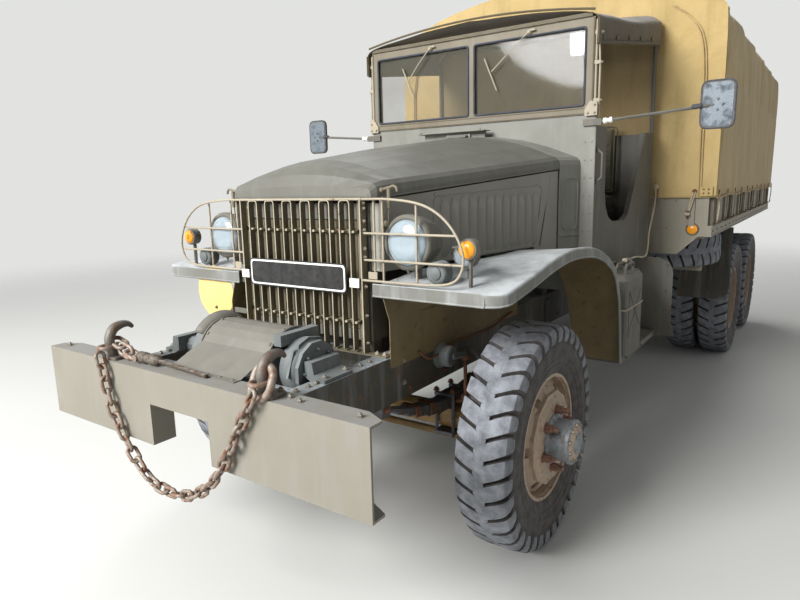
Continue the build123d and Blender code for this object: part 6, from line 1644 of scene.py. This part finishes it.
def stuff_pad(piece, furthest):
    """Swells a pad under pressure as cloth, and lets no point move further than the limit in metres."""
    fine = piece.modifiers.new("fine", "REMESH")
    fine.mode = "VOXEL"
    fine.voxel_size = 0.006
    fine.use_smooth_shade = True
    start = shaped_mesh(piece)
    piece.modifiers.clear()
    piece.data = start
    resting = [v.co.copy() for v in start.vertices]
    cloth = piece.modifiers.new("stuffing", "CLOTH")
    cloth.settings.use_pressure = True
    cloth.settings.uniform_pressure_force = 4.0
    cloth.settings.effector_weights.gravity = 0.0
    for number in range(1, 21):
        bpy.context.scene.frame_set(number)
    swollen = shaped_mesh(piece)
    piece.modifiers.clear()
    piece.data = swollen
    for vert, rest in zip(swollen.vertices, resting):
        moved = vert.co - rest
        if moved.length > furthest:
            vert.co = rest + moved * (furthest / moved.length)
    bpy.context.scene.frame_set(1)


class TRUCK_OT_seats(bpy.types.Operator):
    """Stuffs the two seat cushions and their backs"""
    bl_idname = "truck.seats"
    bl_label = "Seats"

    def execute(self, context):
        half = 216
        for side, x in (("left", 355.0), ("right", -355.0)):
            for part, low, high in (
                    ("cushion", (x - half, 1380, 1293), (x + half, 1772, 1388)),
                    ("back", (x - half, 1716, 1408), (x + half, 1790, 1812))):
                bm = bmesh.new()
                cushion_form(bm, Vector(low) + Vector((9, 9, 7)), Vector(high) - Vector((9, 9, 9)), 7.0, 6.0)
                pad = make_piece(f"seat_{part}_{side}", bm, "seat_duck", sharp=180)
                if part == "cushion" and side == "left":
                    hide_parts("seat_cushions")
                stuff_pad(pad, 0.022)
                round_off = pad.modifiers.new("rounded", "SUBSURF")
                round_off.levels = 1
                round_off.render_levels = 1
                bm = bmesh.new()
                lo, hi = Vector(low), Vector(high)
                # a cushion's piping lies level, and that of a back stands upright
                flat = part == "cushion"
                long, thick = (1, 2) if flat else (2, 1)
                loop = round_rectangle(lo.x + 4, hi.x - 4, lo[long] + 4, hi[long] - 4, 20)
                for level in (0.06, 0.94):
                    depth = lo[thick] + (hi[thick] - lo[thick]) * level
                    pipe(bm, [(u, v, depth) if flat else (u, depth, v) for u, v in loop], 3.6, 8, True)
                make_piece(f"seat_{part}_{side}_piping", bm, "seat_duck")
        return {"FINISHED"}


# Lamps

def ring_rows(centre, axis, section, sides):
    """A closed section turned round an axis, one row for each angle."""
    first, second = across_axis(axis)
    outs = [first * math.cos(angle) + second * math.sin(angle) for angle in turns(sides)]
    return [[centre + out * radius + axis * along for radius, along in section] for out in outs]


class TRUCK_OT_lamps(bpy.types.Operator):
    """Adds the headlamps' glasses, rims and reflectors, the amber signals, markers and hooded lamp glass"""
    bl_idname = "truck.lamps"
    bl_label = "Lamps"

    def execute(self, context):
        for side, name in SIDES:
            place = Vector((side * 490.0, -470.0, 1285.0))
            bm = bmesh.new()
            turned(bm, place, AHEAD, [(84, -2), (84, 3), (76, 12), (56, 21), (28, 26), (2, 27.5)], 48)
            make_piece(f"headlamp_glass_{name}", bm, "lens", sharp=50)
            bm = bmesh.new()
            ring = [(86, -22), (100, -22), (101, -14), (101, -4), (97, 4), (90, 8), (84, 6),
                    (83, 1), (86, -2)]
            skin(bm, ring_rows(place, AHEAD, ring, 56), ends=False, wrap=True)
            bolt(bm, place + Vector((0, 6, -101)), (0, 0, -1), 5.0, 8.0)
            make_piece(f"headlamp_rim_{name}", bm, "body", sharp=50)
            bm = bmesh.new()
            turned(bm, place + Vector((0, -0.5, 0)), AHEAD,
                   [(80, 0.5), (60, 3), (34, 7.5), (10, 9), (2, 9.2)], 40)
            make_piece(f"headlamp_reflector_{name}", bm, "reflector_shell", sharp=50)
            signal = Vector((side * 734.0, -470.0, 1271.0))
            bm = bmesh.new()
            turned(bm, signal, AHEAD, [(30, -1), (30, 8), (27, 13), (18, 18), (8, 20), (1, 20.5)], 36)
            make_piece(f"turn_signal_lens_{name}", bm, "amber", sharp=50)
            bm = bmesh.new()
            turned(bm, signal, AHEAD, [(36, -20), (37, -6), (37, 2), (34, 7), (29, 8), (29, 4)], 36)
            make_piece(f"turn_signal_rim_{name}", bm, "winch", sharp=40)
            marker = Vector((side * 618.0, -482.0, 1186.0))
            bm = bmesh.new()
            rows = [(38, -46)]
            for i in range(6):
                rows += [(40, -44 + i * 8), (40, -39 + i * 8), (37, -38 + i * 8)]
            rows += [(38, 4), (34, 8), (28, 9)]
            turned(bm, marker, AHEAD, rows, 36)
            turned(bm, marker, AHEAD, [(24, 8), (22, 14), (12, 18), (1, 19)], 28)
            make_piece(f"marker_lamp_{name}", bm, "gear_case", sharp=40)
        hooded = Vector((677.0, -395.0, 1238.0))
        bm = bmesh.new()
        turned(bm, hooded, AHEAD, [(38, -3), (38, 3), (30, 10), (16, 15), (2, 17)], 36)
        make_piece("hooded_lamp_lens", bm, "lens", sharp=50)
        return {"FINISHED"}


# Sizes and colours that a user can change

class TruckSizes(bpy.types.PropertyGroup):
    lens: FloatProperty(name="Lens", description="Focal length for a 36 mm sensor", default=27.74, min=10.0)
    key_light: FloatProperty(name="Key light", description="Power of the largest lamp", default=1750.0,
                             unit="POWER")
    fill_light: FloatProperty(name="Fill light", description="Strength of the light from all round",
                              default=0.5, min=0.0)
    lug_count: IntProperty(name="Lugs", description="Tread lugs in one row of a tyre", default=36, min=8)
    guard_bars: IntProperty(name="Guard bars", description="Upright bars of the radiator guard",
                            default=14, min=4)
    fold_depth: FloatProperty(name="Fold depth", description="Depth of the bed canvas folds, 1 is usual",
                              default=1.0, min=0.0, max=2.0)


def paint_colour(name, description, code):
    """A colour that a user can change, given as an sRGB hex colour."""
    return FloatVectorProperty(name=name, description=description, default=linear(code)[:3],
                               subtype="COLOR", size=3, min=0.0, max=1.0)


class TruckColours(bpy.types.PropertyGroup):
    # the hood's sides take the lighter hood_side enamel, painted light, rather than this colour
    hood: paint_colour("Hood", "Enamel of the hood and its sides", "#57554c")
    cab: paint_colour("Cab", "Enamel of the cab, lamps and running boards", "#54524a")
    fender: paint_colour("Fenders", "Enamel of the front fenders", "#6b6b64")
    bumper: paint_colour("Bumper", "Enamel of the front bumper", "#7d786c")
    guard: paint_colour("Guard", "Enamel of the radiator guard", "#9a907d")
    wheel: paint_colour("Wheels", "Enamel of the wheel discs", "#b09b86")
    bed: paint_colour("Cargo bed", "Enamel of the bed and its tailgate", "#928c7c")
    bed_canvas: paint_colour("Bed canvas", "Cloth of the bed cover", "#bca26c")
    roof_canvas: paint_colour("Roof canvas", "Cloth of the cab roof", "#544830")
    tyre: paint_colour("Tyres", "Rubber of the tread", "#585b60")


class TRUCK_PT_panel(bpy.types.Panel):
    """Lists the truck's sizes, colours and pieces"""
    bl_idname = "TRUCK_PT_panel"
    bl_label = "Cargo truck"
    bl_space_type = "VIEW_3D"
    bl_region_type = "UI"
    bl_category = "Truck"

    def draw(self, context):
        for name in ("lens", "key_light", "fill_light", "lug_count", "guard_bars", "fold_depth"):
            self.layout.prop(context.scene.truck_sizes, name)
        for name in TruckColours.__annotations__:
            self.layout.prop(context.scene.truck_colours, name)
        for operator in OPERATORS:
            self.layout.operator(operator.bl_idname)


OPERATORS = (
    TRUCK_OT_stage, TRUCK_OT_finishes, TRUCK_OT_tyres, TRUCK_OT_hubs, TRUCK_OT_chain, TRUCK_OT_front_end,
    TRUCK_OT_guard, TRUCK_OT_fenders, TRUCK_OT_hood_details, TRUCK_OT_windscreen_details, TRUCK_OT_suspension,
    TRUCK_OT_bed_cover, TRUCK_OT_bed_fittings, TRUCK_OT_cab_roof, TRUCK_OT_cab_fittings, TRUCK_OT_seats,
    TRUCK_OT_lamps,
)
CLASSES = (TruckSizes, TruckColours, TRUCK_PT_panel) + OPERATORS


def register():
    """Registers the classes, the sizes and the colours."""
    for kind in CLASSES:
        bpy.utils.register_class(kind)
    bpy.types.Scene.truck_sizes = PointerProperty(type=TruckSizes)
    bpy.types.Scene.truck_colours = PointerProperty(type=TruckColours)


def unregister():
    """Takes the classes, the sizes and the colours away again."""
    del bpy.types.Scene.truck_sizes
    del bpy.types.Scene.truck_colours
    for kind in reversed(CLASSES):
        bpy.utils.unregister_class(kind)


def build_truck():
    """Registers the classes and builds the whole scene."""
    register()
    for operator in OPERATORS:
        group, name = operator.bl_idname.split(".")
        getattr(getattr(bpy.ops, group), name)()


if __name__ == "__main__":
    build_truck()
